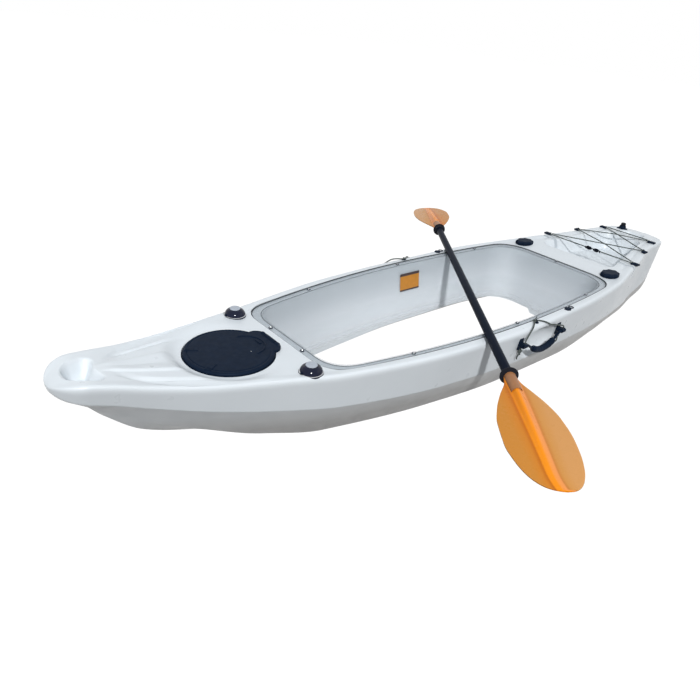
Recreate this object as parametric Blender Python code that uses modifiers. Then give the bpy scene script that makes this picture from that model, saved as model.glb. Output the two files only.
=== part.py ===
"""Recreational kayak with a clear drop-in cockpit tub, its deck fittings and its paddle.

Metres. +X points to the bow, +Y to port and +Z up. The origin lies on the ground plane, on the
underside of the tub's clear floor, below the middle pair of flange screws.
"""
import math

import bmesh
import bpy
import numpy as np
from mathutils import Matrix, Vector

# Clearances
GAP = 0.0003            # between pieces that touch
RUN_GAP = 0.0008        # round a piece that turns or slides
TUB_GAP = 0.002         # round the tub in its well

# Hull
HULL_WALL = 0.005
FLANGE_TOP = 0.275      # level of the tub's flange above the ground
BOW_X, BOW_ROUND = 1.578, 0.080
STERN_X, STERN_ROUND = -1.684, 0.094
CHINE_INSET = 0.018     # how far the chine lies inside the gunwale
DECK_BAND = 0.042       # width of the raised band along the gunwale
GUNWALE_RADIUS = 0.020
BILGE_RADIUS = 0.020
CHINE_RADIUS = 0.012
KEEL_HALF_WIDTH = 0.022
TUNNEL_DEPTH = 0.018    # how far the bottom lies above keel and runners
# Table of offsets: station, deck half-breadth, deck edge height, deck middle height,
# chine height, bilge half-breadth, bilge height, keel height
OFFSETS = (
    (-1.684, 0.134, 0.303, 0.301, 0.175, 0.113, 0.130, 0.110),
    (-1.62, 0.148, 0.310, 0.308, 0.132, 0.132, 0.078, 0.062),
    (-1.54, 0.164, 0.315, 0.313, 0.094, 0.150, 0.036, 0.022),
    (-1.40, 0.180, 0.315, 0.313, 0.062, 0.167, 0.012, 0.005),
    (-1.20, 0.234, 0.301, 0.299, 0.055, 0.207, 0.000, 0.000),
    (-1.00, 0.286, 0.292, 0.288, 0.080, 0.236, 0.000, 0.000),
    (-0.80, 0.334, 0.282, 0.2765, 0.108, 0.266, 0.000, 0.000),
    (-0.40, 0.379, 0.280, 0.2757, 0.125, 0.308, 0.000, 0.000),
    (0.00, 0.389, 0.271, 0.2755, 0.127, 0.305, 0.000, 0.000),
    (0.40, 0.363, 0.277, 0.2757, 0.134, 0.266, 0.000, 0.000),
    (0.80, 0.293, 0.283, 0.2765, 0.152, 0.184, 0.000, 0.000),
    (1.00, 0.240, 0.296, 0.291, 0.178, 0.124, 0.030, 0.012),
    (1.20, 0.186, 0.312, 0.308, 0.218, 0.082, 0.104, 0.064),
    (1.35, 0.142, 0.335, 0.331, 0.258, 0.060, 0.175, 0.122),
    (1.45, 0.115, 0.357, 0.353, 0.288, 0.044, 0.235, 0.205),
    (1.51, 0.101, 0.366, 0.362, 0.302, 0.038, 0.276, 0.268),
    (1.578, 0.092, 0.356, 0.353, 0.324, 0.030, 0.312, 0.308),
)

# Cockpit tub
TUB_WALL = 0.004
RIM_HALF_WIDTH = 0.319
RIM_WIDEST_X = -0.05
RIM_FORE, RIM_AFT = 0.815, -0.765
RIM_TAPER_FORE, RIM_TAPER_AFT = 0.126, 0.0836   # how fast the sides close in
RIM_CORNER_FORE, RIM_CORNER_AFT = 0.095, 0.135
FLANGE_SIDE, FLANGE_FORE, FLANGE_AFT = 0.030, 0.037, 0.032
WALL_LEAN_SIDE, WALL_LEAN_END = 0.042, 0.062    # from the rim to the foot of the wall
FOOT_HEIGHT = 0.024
FOOT_ROUND = 0.018
SEAL_THICKNESS, SEAL_WIDTH = 0.0012, 0.006
SIDE_STEPS, CORNER_STEPS, END_STEPS = 7, 4, 2

# Planes where the hull's sections meet
SECTION_BOW = RIM_FORE + FLANGE_FORE + 0.006
SECTION_STERN = RIM_AFT - FLANGE_AFT - 0.002

# Flange screws
SCREW_SIDE = ((0.527, 0.292), (0.0, 0.330), (-0.527, 0.313))
SCREW_FORE = (RIM_FORE + 0.024, 0.091)
SCREW_AFT_X = RIM_AFT - 0.018
SCREW_RADIUS, SCREW_HOLE_RADIUS = 0.0025, 0.0031
SCREW_HEAD_RADIUS, SCREW_WASHER_RADIUS = 0.0045, 0.0068
SCREW_LENGTH = 0.018

# Hatch
HATCH_X = 1.052
HATCH_SEAT = 0.277
HATCH_LID_RADIUS = 0.136
HATCH_RING_RADIUS = HATCH_LID_RADIUS + 0.003
HATCH_SEAT_RADIUS = HATCH_RING_RADIUS + 0.006
HATCH_MOUTH_RADIUS = HATCH_LID_RADIUS - 0.038
HATCH_NECK_WALL, HATCH_NECK_DEPTH = 0.005, 0.022
HATCH_RING_THICKNESS = 0.004
HATCH_GASKET_THICKNESS, HATCH_GASKET_WIDTH = 0.0024, 0.008
HATCH_LID_THICKNESS = 0.010
HINGE_REACH = HATCH_LID_RADIUS + 0.014     # from the hatch's middle to its hinge pin
HINGE_RISE = 0.0145     # of the pin above the seat
HINGE_PIN_RADIUS, HINGE_PIN_LENGTH = 0.003, 0.104
HINGE_BARREL_RADIUS = 0.0075
HINGE_LUG_WIDTH, HINGE_TONGUE_WIDTH = 0.020, 0.058
LATCH_ANGLE = math.radians(32)
LATCH_LENGTH, LATCH_WIDTH, LATCH_THICKNESS = 0.042, 0.020, 0.006
LATCH_REACH = HATCH_LID_RADIUS - 0.044     # from the hatch's middle to the latch's pivot

# Deck sockets
SOCKET_X, SOCKET_Y = 0.901, 0.221
SOCKET_RADIUS, SOCKET_HEIGHT = 0.0385, 0.026
SOCKET_BORE_RADIUS, SOCKET_BORE_DEPTH = 0.0165, 0.020
SOCKET_CAP_RADIUS, SOCKET_CAP_THICKNESS, SOCKET_PLUG_LENGTH = 0.0185, 0.004, 0.014
BUTTON_RADIUS, BUTTON_LENGTH, BUTTON_RISE = 0.0032, 0.012, 0.010

# Rod holders
ROD_X, ROD_Y = -0.858, 0.245
ROD_TILT = math.radians(18)     # the mouth leans outboard
ROD_BORE_RADIUS, ROD_WALL, ROD_DEPTH = 0.0215, 0.003, 0.150
ROD_FLANGE_LENGTH, ROD_FLANGE_WIDTH, ROD_FLANGE_THICKNESS = 0.112, 0.080, 0.004
ROD_CAP_HEIGHT, ROD_CAP_PLUG = 0.014, 0.016
ROD_CAP_WAVE, ROD_CAP_WAVES = 0.035, 8

# Pad eyes
EYE_X, EYE_Y = -0.303, 0.362
EYE_LENGTH, EYE_WIDTH, EYE_THICKNESS = 0.036, 0.026, 0.005
EYE_RING_RADIUS, EYE_WIRE_RADIUS = 0.0095, 0.0018

# Side carry handles
HANDLE_X, HANDLE_HALF_SPAN = -0.098, 0.130
HANDLE_AXIS_Y, HANDLE_AXIS_Z = 0.403, 0.218
HANDLE_PIN_RADIUS, GRIP_RADIUS = 0.0040, 0.0115
GRIP_DROP, GRIP_OUT = 0.044, 0.003
GRIP_HALF_LENGTH = 0.074
LUG_WIDTH, LUG_HEIGHT, LUG_BASE = 0.026, 0.048, 0.006
LUG_BARREL_RADIUS = 0.0095
DOME_LENGTH, DOME_HEIGHT, DOME_DEPTH = 0.105, 0.068, 0.040
DOME_Z = 0.186

# Paddle-park cords of the handles
PARK_CORD_RADIUS = 0.002
PARK_EYE_X, PARK_EYE_Y = -0.075, 0.364
PARK_EYE_RADIUS, PARK_EYE_WIRE = 0.0052, 0.0016

# Stern deck cord and its anchors, listed as station, half-breadth and pad length
DECK_CORD_RADIUS = 0.0026
ANCHORS = ((-1.087, 0.238, 0.036), (-1.287, 0.192, 0.020), (-1.480, 0.128, 0.036))
ANCHOR_WIDTH, ANCHOR_THICKNESS = 0.018, 0.004
ANCHOR_RING_RADIUS, ANCHOR_WIRE = 0.0062, 0.0018
ANCHOR_RING_RISE = 0.0085
CONNECTOR_LENGTH, CONNECTOR_RADIUS = 0.064, 0.0065
CONNECTOR_Y = 0.022
CORD_HUMP = 0.0075

# Tank well, scoops and drains
TANK_FORE, TANK_AFT = -0.945, -1.452
TANK_HALF_FORE, TANK_HALF_AFT = 0.205, 0.102
TANK_FLOOR, TANK_CORNER, TANK_LEAN = 0.222, 0.050, 0.024
BOW_SCOOP = (1.488, 0.050, 0.066, 0.050)        # middle, half length, half width, depth
STERN_SCOOP = (-1.545, 0.048, 0.070, 0.055)
DRAIN_X, DRAIN_WIDTH, DRAIN_FLOOR = -1.052, 0.020, 0.238
DRAIN_INNER, DRAIN_OUTER = 0.150, 0.340

# Drain plug
PLUG_X, PLUG_Y = -1.598, -0.088
PLUG_FLANGE_RADIUS, PLUG_NECK_RADIUS, PLUG_HEIGHT = 0.029, 0.0125, 0.020
PLUG_BORE_RADIUS, PLUG_KNOB_RADIUS, PLUG_KNOB_HEIGHT = 0.0085, 0.0125, 0.014

# Paddle
SHAFT_RADIUS, SHAFT_WALL = 0.016, 0.0015
SHAFT_BOTTOM_PORT, SHAFT_BOTTOM_STARBOARD = 0.2754, 0.2779   # shaft's underside over each side
SHAFT_PORT_XY = (0.230, 0.381)
SHAFT_STARBOARD_XY = (-0.345, -0.330)
SHAFT_MIDDLE_FROM_PORT = 0.488      # from the port crossing to the shaft's middle
RING_FROM_MIDDLE = 0.731
SHAFT_PAST_RING = 0.075
FERRULE_LENGTH = 0.150
RING_RADIUS, RING_LENGTH = 0.0305, 0.018
# Blade outline: distance past the drip ring, then reach to its long and to its short side
BLADE_OFFSETS = ((0.010, 0.0195, 0.0195), (0.040, 0.025, 0.021), (0.100, 0.052, 0.038), (0.167, 0.077, 0.058),
                 (0.235, 0.0915, 0.073), (0.320, 0.0935, 0.0815), (0.380, 0.083, 0.0825),
                 (0.432, 0.065, 0.079), (0.468, 0.041, 0.070), (0.486, 0.018, 0.060),
                 (0.496, -0.008, 0.046), (0.499, -0.022, 0.036))
BLADE_STATIONS = (0.010, 0.040, 0.080, 0.130, 0.190, 0.250, 0.315, 0.375, 0.425, 0.460, 0.482, 0.494, 0.499)
BLADE_THICKNESS = 0.0035
BLADE_ROLL = math.radians(10)
BLADE_DROOP = 0.110     # fall of the blade per metre squared
SOCKET_WALL, SOCKET_LENGTH = 0.003, 0.088
SPINE_HEIGHT, SPINE_HALF_WIDTH = 0.014, 0.018

PARTS = "recreational_kayak"
CUTTERS = "cutters"


def clear_scene():
    """Remove every object and leave two empty collections."""
    for item in list(bpy.data.objects):
        bpy.data.objects.remove(item, do_unlink=True)
    for name in (PARTS, CUTTERS):
        group = bpy.data.collections.get(name) or bpy.data.collections.new(name)
        if group.name not in bpy.context.scene.collection.children:
            bpy.context.scene.collection.children.link(group)


def material(name, colour, roughness=0.5, metallic=0.0, alpha=1.0):
    """A Principled material, made once."""
    found = bpy.data.materials.get(name)
    if found:
        return found
    made = bpy.data.materials.new(name)
    made.use_nodes = True
    shader = made.node_tree.nodes["Principled BSDF"]
    shader.inputs["Base Color"].default_value = (*colour, 1.0)
    shader.inputs["Roughness"].default_value = roughness
    shader.inputs["Metallic"].default_value = metallic
    shader.inputs["Alpha"].default_value = alpha
    made.diffuse_color = (*colour, alpha)
    return made


def white_plastic():
    return material("hull_plastic", (0.83, 0.86, 0.88), 0.32)


def clear_plastic():
    return material("clear_plastic", (0.86, 0.90, 0.92), 0.06, alpha=0.3)


def black_plastic():
    return material("black_plastic", (0.018, 0.022, 0.032), 0.42)


def gloss_black():
    return material("gloss_black", (0.012, 0.016, 0.028), 0.14)


def rubber():
    return material("rubber", (0.015, 0.015, 0.017), 0.75)


def steel():
    return material("steel", (0.62, 0.63, 0.65), 0.22, 1.0)


def grey_cap():
    return material("grey_cap", (0.50, 0.54, 0.57), 0.5)


def cord_black():
    return material("elastic_cord", (0.030, 0.036, 0.038), 0.85)


def orange_plastic():
    return material("blade_plastic", (0.90, 0.40, 0.07), 0.2, alpha=0.85)


def shaft_coating():
    return material("shaft_coating", (0.022, 0.026, 0.036), 0.38)


def adopt(item, name, finish=None, smooth=35.0):
    """Name an object, put it with the parts and shade its round faces smooth."""
    item.name = name
    item.data.name = name
    for group in list(item.users_collection):
        group.objects.unlink(item)
    bpy.data.collections[PARTS].objects.link(item)
    if finish:
        item.data.materials.clear()
        item.data.materials.append(finish)
    if smooth and item.type == "MESH":
        item.data.shade_smooth()
        item.data.set_sharp_from_angle(angle=math.radians(smooth))
    return item


def hide_cutter(item, name):
    """Put a cutter with the cutters, drawn as wire."""
    item.name = name
    for group in list(item.users_collection):
        group.objects.unlink(item)
    bpy.data.collections[CUTTERS].objects.link(item)
    item.hide_render = True
    item.display_type = "WIRE"
    return item


def from_bmesh(shape, name="shape"):
    """An object from a bmesh, with its faces turned outwards."""
    bmesh.ops.recalc_face_normals(shape, faces=shape.faces)
    data = bpy.data.meshes.new(name)
    shape.to_mesh(data)
    shape.free()
    item = bpy.data.objects.new(name, data)
    bpy.context.scene.collection.objects.link(item)
    return item


def cylinder(radius, depth, segments=16, top_radius=None, squash=1.0, matrix=None):
    """A cylinder or cone about +Z whose foot stands on z = 0."""
    shape = bmesh.new()
    upper = radius if top_radius is None else top_radius
    bmesh.ops.create_cone(shape, cap_ends=True, segments=segments, radius1=radius,
                          radius2=upper, depth=depth)
    bmesh.ops.translate(shape, verts=shape.verts, vec=(0, 0, depth / 2))
    bmesh.ops.scale(shape, verts=shape.verts, vec=(1, squash, 1))
    if matrix:
        bmesh.ops.transform(shape, verts=shape.verts, matrix=matrix)
    return from_bmesh(shape)


def box(size, middle, matrix=None):
    """A box of a size about a middle."""
    shape = bmesh.new()
    bmesh.ops.create_cube(shape, size=1.0)
    bmesh.ops.scale(shape, verts=shape.verts, vec=size)
    bmesh.ops.translate(shape, verts=shape.verts, vec=middle)
    if matrix:
        bmesh.ops.transform(shape, verts=shape.verts, matrix=matrix)
    return from_bmesh(shape)


def ball(radii, middle, segments=20, rings=12):
    """An ellipsoid."""
    shape = bmesh.new()
    bmesh.ops.create_uvsphere(shape, u_segments=segments, v_segments=rings, radius=1.0)
    bmesh.ops.scale(shape, verts=shape.verts, vec=radii)
    bmesh.ops.translate(shape, verts=shape.verts, vec=middle)
    return from_bmesh(shape)


def loft(loops, caps=True, closed=False):
    """A skin through loops of equal length, capped or joined end to end."""
    shape = bmesh.new()
    rows = [[shape.verts.new(point) for point in loop] for loop in loops]
    count = len(rows[0])
    pairs = list(zip(rows, rows[1:]))
    if closed:
        pairs.append((rows[-1], rows[0]))
    for lower, upper in pairs:
        for i in range(count):
            j = (i + 1) % count
            shape.faces.new((lower[i], lower[j], upper[j], upper[i]))
    if caps and not closed:
        shape.faces.new(reversed(rows[0]))
        shape.faces.new(rows[-1])
    bmesh.ops.triangulate(shape, faces=shape.faces)
    return from_bmesh(shape)


def revolve(profile, segments=20, ring=False):
    """A turned piece about +Z. The profile runs down its outer side; a ring's profile closes."""
    data = bpy.data.meshes.new("turned")
    edges = [(i, i + 1) for i in range(len(profile) - 1)]
    if ring:
        edges.append((len(profile) - 1, 0))
    data.from_pydata([(radius, 0.0, height) for radius, height in profile], edges, [])
    item = bpy.data.objects.new("turned", data)
    bpy.context.scene.collection.objects.link(item)
    turn = item.modifiers.new("turn", "SCREW")
    turn.steps = segments
    turn.render_steps = segments
    turn.use_merge_vertices = True
    turn.merge_threshold = 0.00005
    turn.use_smooth_shade = True
    return item


def tube(points, radius, sides=2, radii=None):
    """A cord or bar along points, as a curve with filled ends."""
    data = bpy.data.curves.new("tube", "CURVE")
    data.dimensions = "3D"
    data.bevel_depth = radius
    data.bevel_resolution = sides
    data.use_fill_caps = True
    line = data.splines.new("POLY")
    line.points.add(len(points) - 1)
    for i, point in enumerate(points):
        line.points[i].co = (*point, 1.0)
        line.points[i].radius = radii[i] if radii else 1.0
    item = bpy.data.objects.new("tube", data)
    bpy.context.scene.collection.objects.link(item)
    return item


def as_mesh(item):
    """The evaluated shape of an object as a plain mesh object in world space."""
    graph = bpy.context.evaluated_depsgraph_get()
    graph.update()
    data = bpy.data.meshes.new_from_object(item.evaluated_get(graph))
    data.transform(item.matrix_world)
    shape = bmesh.new()
    shape.from_mesh(data)
    bmesh.ops.remove_doubles(shape, verts=shape.verts, dist=0.00002)
    bpy.data.objects.remove(item, do_unlink=True)
    return from_bmesh(shape)


def place(item, location, rotation=None):
    """Set an object's place and its turn, and keep its world matrix current."""
    item.location = location
    if rotation is not None:
        item.rotation_euler = rotation
    bpy.context.view_layer.update()
    return item


def cut(item, cutter, name, operation="DIFFERENCE"):
    """Cut an object with another, or join the other to it."""
    hide_cutter(cutter, f"{item.name}_{name}")
    step = item.modifiers.new(name, "BOOLEAN")
    step.operation = operation
    step.solver = "EXACT"
    step.object = cutter
    return item


def smooth_line(knots, values):
    """A curve through a column of the table of offsets that never overshoots it."""
    xs, ys = np.array(knots, float), np.array(values, float)
    step, slope = np.diff(xs), np.diff(ys) / np.diff(xs)
    tangent = np.zeros(len(xs))
    tangent[0], tangent[-1] = slope[0], slope[-1]
    for i in range(1, len(xs) - 1):
        if slope[i - 1] * slope[i] > 0:
            first, second = 2 * step[i] + step[i - 1], step[i] + 2 * step[i - 1]
            tangent[i] = (first + second) / (first / slope[i - 1] + second / slope[i])

    def at(x):
        i = int(np.clip(np.searchsorted(xs, x) - 1, 0, len(step) - 1))
        t = (x - xs[i]) / step[i]
        return float((2 * t**3 - 3 * t**2 + 1) * ys[i] + (t**3 - 2 * t**2 + t) * step[i] * tangent[i]
                     + (3 * t**2 - 2 * t**3) * ys[i + 1] + (t**3 - t**2) * step[i] * tangent[i + 1])
    return at


STATION = [row[0] for row in OFFSETS]
BREADTH, DECK_EDGE, DECK_MIDDLE, CHINE_Z, BILGE_Y, BILGE_Z, KEEL_Z = (
    smooth_line(STATION, [row[column] for row in OFFSETS]) for column in range(1, 8))


def end_rounding(x):
    """Share of the breadth that the rounded ends leave at a station."""
    bow = max(0.0, (x - BOW_X + BOW_ROUND) / BOW_ROUND)
    stern = max(0.0, (STERN_X + STERN_ROUND - x) / STERN_ROUND)
    return math.sqrt(max(0.0, 1 - max(bow, stern) ** 2))


def fade(x, start, end):
    """Rise smoothly from 0 at start to 1 at end."""
    t = min(1.0, max(0.0, (x - start) / (end - start)))
    return t * t * (3 - 2 * t)


def tunnel(x):
    """Depth of the bottom's tunnels at a station."""
    return TUNNEL_DEPTH * fade(x, -1.52, -1.35) * (1 - fade(x, 0.90, 1.12))


def section_corners(x):
    """Corners of the half section: half-breadth, height, corner radius and points."""
    narrow = end_rounding(x)
    breadth = BREADTH(x) * narrow
    bilge = BILGE_Y(x) * narrow
    keel = min(KEEL_HALF_WIDTH, 0.25 * bilge)
    span = bilge - keel
    keel_z, bilge_z, hollow = KEEL_Z(x), BILGE_Z(x), tunnel(x)

    def bottom(share, lift):
        return (keel + share * span, keel_z + share * (bilge_z - keel_z) + lift)

    chine = max(breadth - CHINE_INSET * narrow, bilge + 0.003)
    deck = max(breadth - DECK_BAND, 0.55 * breadth)
    return [
        (0.0, keel_z, 0.0, 1),
        (keel, keel_z, 0.0, 1),
        (*bottom(0.08, hollow), 0.0, 1),
        (*bottom(0.88, hollow), 0.0, 1),
        (*bottom(0.94, 0.0), 0.0, 1),
        (bilge, bilge_z, BILGE_RADIUS, 3),
        (chine, CHINE_Z(x), CHINE_RADIUS, 2),
        (breadth, DECK_EDGE(x), GUNWALE_RADIUS, 4),
        (deck, DECK_MIDDLE(x), 0.0, 1),
        (0.0, DECK_MIDDLE(x), 0.0, 1),
    ]


def rounded(corners):
    """The outline through corners, each rounded by its radius."""
    outline = []
    for i, (y, z, radius, count) in enumerate(corners):
        if count == 1:
            outline.append((y, z))
            continue
        here = Vector((y, z))
        before = Vector(corners[i - 1][:2]) - here
        after = Vector(corners[i + 1][:2]) - here
        turn = math.pi - before.angle(after)
        back = radius * math.tan(turn / 2)
        start = here + before.normalized() * min(back, 0.45 * before.length)
        end = here + after.normalized() * min(back, 0.45 * after.length)
        for k in range(count):
            t = k / (count - 1)
            point = start * (1 - t) ** 2 + here * 2 * t * (1 - t) + end * t**2
            outline.append((point.x, point.y))
    return outline


def full_ring(x, half):
    """A closed ring at a station from a half outline that starts and ends on the middle."""
    port = [(x, y, z) for y, z in half]
    starboard = [(x, -y, z) for y, z in reversed(half[1:-1])]
    return port + starboard


def outer_stations():
    """Stations of the outer skin, closer together at the rounded ends."""
    stern = [STERN_X + d for d in (0.005, 0.013, 0.030, 0.060, 0.100)]
    bow = [BOW_X - d for d in (0.135, 0.095, 0.062, 0.036, 0.016, 0.005)]
    return stern + list(np.linspace(-1.50, 1.40, 26)) + bow


def inner_ring(x):
    """Ring of the hollow inside the hull at a station."""
    narrow = end_rounding(x)
    wall = HULL_WALL
    breadth = BREADTH(x) * narrow - wall
    chamfer = GUNWALE_RADIUS
    chine = max(BREADTH(x) - CHINE_INSET, BILGE_Y(x) + 0.003) * narrow - wall
    bilge = max(BILGE_Y(x) * narrow - 3.2 * wall, 0.012)
    lift = wall + tunnel(x)
    deck = DECK_MIDDLE(x) - wall
    edge = DECK_EDGE(x) - wall
    half = [
        (0.0, KEEL_Z(x) + lift),
        (bilge, BILGE_Z(x) + lift),
        (chine, max(CHINE_Z(x), BILGE_Z(x) + 0.03)),
        (breadth, edge - chamfer),
        (breadth - chamfer, edge - 0.001),
        (max(breadth - DECK_BAND, 0.5 * breadth), deck - 0.001),
        (0.0, deck),
    ]
    return full_ring(x, half)


def deck_height(x, y):
    """Height of the deck surface over a point inside the gunwale's rounding."""
    breadth = BREADTH(x) * end_rounding(x)
    band = max(breadth - DECK_BAND, 0.55 * breadth)
    share = max(0.0, (abs(y) - band) / (breadth - band))
    return DECK_MIDDLE(x) + share * (DECK_EDGE(x) - DECK_MIDDLE(x))


def side_at(x, z):
    """Half-breadth of the side between chine and gunwale at a height."""
    share = (z - CHINE_Z(x)) / (DECK_EDGE(x) - CHINE_Z(x))
    return BREADTH(x) - CHINE_INSET * (1 - share)


def tub_outline(z, side=0.0, fore=0.0, aft=0.0):
    """Closed outline of the cockpit, moved outwards at its sides and ends."""
    def half_width(x):
        taper = RIM_TAPER_FORE if x > RIM_WIDEST_X else RIM_TAPER_AFT
        return RIM_HALF_WIDTH + side - taper * (x - RIM_WIDEST_X) ** 2

    def slope(x):
        taper = RIM_TAPER_FORE if x > RIM_WIDEST_X else RIM_TAPER_AFT
        return -2 * taper * (x - RIM_WIDEST_X)

    front, back = RIM_FORE + fore, RIM_AFT - aft
    start, stop = front - RIM_CORNER_FORE, back + RIM_CORNER_AFT

    def corner_points(x0, x1):
        hinge = half_width(x0) + slope(x0) * (x1 - x0)
        for k in range(CORNER_STEPS + 1):
            t = k / CORNER_STEPS
            x = (1 - t) ** 2 * x0 + 2 * t * (1 - t) * x1 + t**2 * x1
            y = (1 - t) ** 2 * half_width(x0) + 2 * t * (1 - t) * hinge + t**2 * (hinge - abs(x1 - x0))
            yield x, y

    half = list(reversed(list(corner_points(start, front))))
    half += [(x, half_width(x)) for x in np.linspace(start, stop, SIDE_STEPS + 1)[1:-1]]
    half += list(corner_points(stop, back))
    port = [(float(x), float(y), z) for x, y in half]
    starboard = [(float(x), -float(y), z) for x, y in reversed(half)]
    aft_y, fore_y = half[-1][1], half[0][1]
    loop = port + [(back, aft_y * (1 - 2 * k / END_STEPS), z) for k in range(1, END_STEPS)]
    loop += starboard
    loop += [(front, -fore_y * (1 - 2 * k / END_STEPS), z) for k in range(1, END_STEPS)]
    return loop


def lean(z):
    """Side and end insets of the tub's wall at a height."""
    share = (FLANGE_TOP - z) / (FLANGE_TOP - FOOT_HEIGHT)
    return WALL_LEAN_SIDE * share, WALL_LEAN_END * share


def well_cutter(grow):
    """The well that the tub drops through, grown by a wall."""
    loops = []
    for z in (-0.05, FLANGE_TOP + 0.06):
        side, end = lean(z)
        out = TUB_WALL + TUB_GAP + grow
        loops.append(tub_outline(z, out - side, out - end, out - end))
    return loft(loops)


def rebate_cutter(grow):
    """The sunk seat of the tub's flange."""
    floor = FLANGE_TOP - TUB_WALL - SEAL_THICKNESS - 2 * GAP - grow
    out = 0.001 + grow
    return loft([tub_outline(z, FLANGE_SIDE + out, FLANGE_FORE + out, FLANGE_AFT + out)
                 for z in (floor, FLANGE_TOP + 0.05)])


def tank_loop(z, out):
    """Outline of the tank well at a height, as a rounded trapezium."""
    corners = [(TANK_FORE + out, TANK_HALF_FORE + out), (TANK_AFT - out, TANK_HALF_AFT + out),
               (TANK_AFT - out, -TANK_HALF_AFT - out), (TANK_FORE + out, -TANK_HALF_FORE - out)]
    loop = []
    for i, corner in enumerate(corners):
        here = Vector(corner)
        before = (Vector(corners[i - 1]) - here).normalized() * TANK_CORNER
        after = (Vector(corners[(i + 1) % 4]) - here).normalized() * TANK_CORNER
        for k in range(5):
            t = k / 4
            point = (here + before) * (1 - t) ** 2 + here * 2 * t * (1 - t) + (here + after) * t**2
            loop.append((point.x, point.y, z))
    return loop


def tank_cutter(grow):
    """The open tank well in the stern deck."""
    levels = ((TANK_FLOOR - grow, grow - TANK_LEAN - 0.012), (TANK_FLOOR + 0.014 - grow, grow - TANK_LEAN),
              (0.315, grow), (0.40, grow))
    return loft([tank_loop(z, out) for z, out in levels])


def scoop_cutter(scoop, grow):
    """A bowl-shaped hand scoop in the deck."""
    middle, length, width, depth = scoop
    top = deck_height(middle, 0.0)
    levels = ((-depth, 0.62), (-depth + 0.012, 0.84), (-0.006, 1.0), (0.06, 1.06))
    loops = []
    for drop, share in levels:
        z = top + drop - grow * (1.0 if drop < 0 else -1.0)
        loops.append([(middle + (length * share + grow) * math.cos(turn),
                       (width * share + grow) * math.sin(turn), z)
                      for turn in np.linspace(0, 2 * math.pi, 20, endpoint=False)])
    return loft(loops)


def dome_cutter(side, grow):
    """The hand space behind a carry handle."""
    face = side_at(HANDLE_X, DOME_Z)
    return ball((DOME_LENGTH + grow, DOME_DEPTH + grow, DOME_HEIGHT + grow),
                (HANDLE_X, side * (face + 0.004), DOME_Z), 20, 10)


def drain_cutter(side, grow):
    """The slot that lets water run from the tank well over the side."""
    length = DRAIN_OUTER - DRAIN_INNER
    height = 0.20
    return box((DRAIN_WIDTH + 2 * grow, length, height + grow),
               (DRAIN_X, side * (DRAIN_INNER + length / 2), DRAIN_FLOOR + (height - grow) / 2))


def hatch_seat_cutter(grow):
    """The level seat of the hatch, with its hinge pocket."""
    return cylinder(HATCH_SEAT_RADIUS + grow, 0.09, 32,
                    matrix=Matrix.Translation((HATCH_X, 0, HATCH_SEAT - grow)))


def hinge_pocket_cutter(grow):
    """The level seat of the hatch's hinge."""
    width = HINGE_PIN_LENGTH + 0.012 + 2 * grow
    reach = HINGE_REACH + HINGE_BARREL_RADIUS + 0.004 + grow - 0.10
    return box((reach, width, 0.09), (HATCH_X - 0.10 - reach / 2, 0, HATCH_SEAT - grow + 0.045))


def seat_height(x, y):
    """Height of the level seat under a small deck fitting."""
    return deck_height(x, y) - 0.0012


def screw_places():
    """Places of the nine flange screws."""
    places = [(x, side * y) for x, y in SCREW_SIDE for side in (1, -1)]
    places += [(SCREW_FORE[0], side * SCREW_FORE[1]) for side in (1, -1)]
    return places + [(SCREW_AFT_X, 0.0)]


def anchor_seat(x):
    """Height of the seat of a deck cord anchor."""
    y = next(half for station, half, _ in ANCHORS if station == x)
    return seat_height(x, y)


def fitting_seats():
    """Cutters of the level seats under the small deck fittings, with their names."""
    seats = []
    for side, word in ((1, "port"), (-1, "starboard")):
        seats.append((f"socket_{word}", cylinder(
            SOCKET_RADIUS + 0.001, 0.03, 24,
            matrix=Matrix.Translation((SOCKET_X, side * SOCKET_Y, seat_height(SOCKET_X, SOCKET_Y))))))
        seats.append((f"rod_{word}", cylinder(
            ROD_FLANGE_LENGTH / 2 + 0.002, 0.03, 24, squash=ROD_FLANGE_WIDTH / ROD_FLANGE_LENGTH,
            matrix=Matrix.Translation((ROD_X, side * ROD_Y, seat_height(ROD_X, ROD_Y))))))
        seats.append((f"eye_{word}", box(
            (EYE_LENGTH + 0.002, EYE_WIDTH + 0.007, 0.02),
            (EYE_X, side * EYE_Y, seat_height(EYE_X, EYE_Y) + 0.01))))
        seats.append((f"park_{word}", cylinder(
            0.0115, 0.02, 12,
            matrix=Matrix.Translation((PARK_EYE_X, side * PARK_EYE_Y, seat_height(PARK_EYE_X, PARK_EYE_Y))))))
        for number, (x, y, length) in enumerate(ANCHORS):
            seats.append((f"anchor_{word}_{number}", box(
                (ANCHOR_WIDTH + 0.002, length + 0.002, 0.02),
                (x, side * (y + anchor_shift(length)), anchor_seat(x) + 0.01))))
        for end in (1, -1):
            seats.append((f"lug_{word}_{end}", lug_seat_cutter(side, end)))
    seats.append(("plug", cylinder(PLUG_FLANGE_RADIUS + 0.001, 0.03, 20, matrix=Matrix.Translation(
        (PLUG_X, PLUG_Y, seat_height(PLUG_X, PLUG_Y))))))
    return seats


def anchor_shift(length):
    """How far a pad's middle lies outboard of its ring."""
    return length / 2 - ANCHOR_WIRE - 0.004


def lug_x(end):
    return HANDLE_X + end * HANDLE_HALF_SPAN


def lug_face(end):
    """Half-breadth of the flat seat of a handle lug."""
    x = lug_x(end)
    low, high = HANDLE_AXIS_Z - LUG_HEIGHT / 2, HANDLE_AXIS_Z + LUG_HEIGHT / 2
    return min(side_at(x, low), side_at(x, high)) + 0.0015


def lug_seat_cutter(side, end):
    """The upright flat seat of a handle lug."""
    depth = 0.03
    return box((LUG_WIDTH + 0.002, depth, LUG_HEIGHT + 0.002),
               (lug_x(end), side * (lug_face(end) + depth / 2), HANDLE_AXIS_Z))


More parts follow.
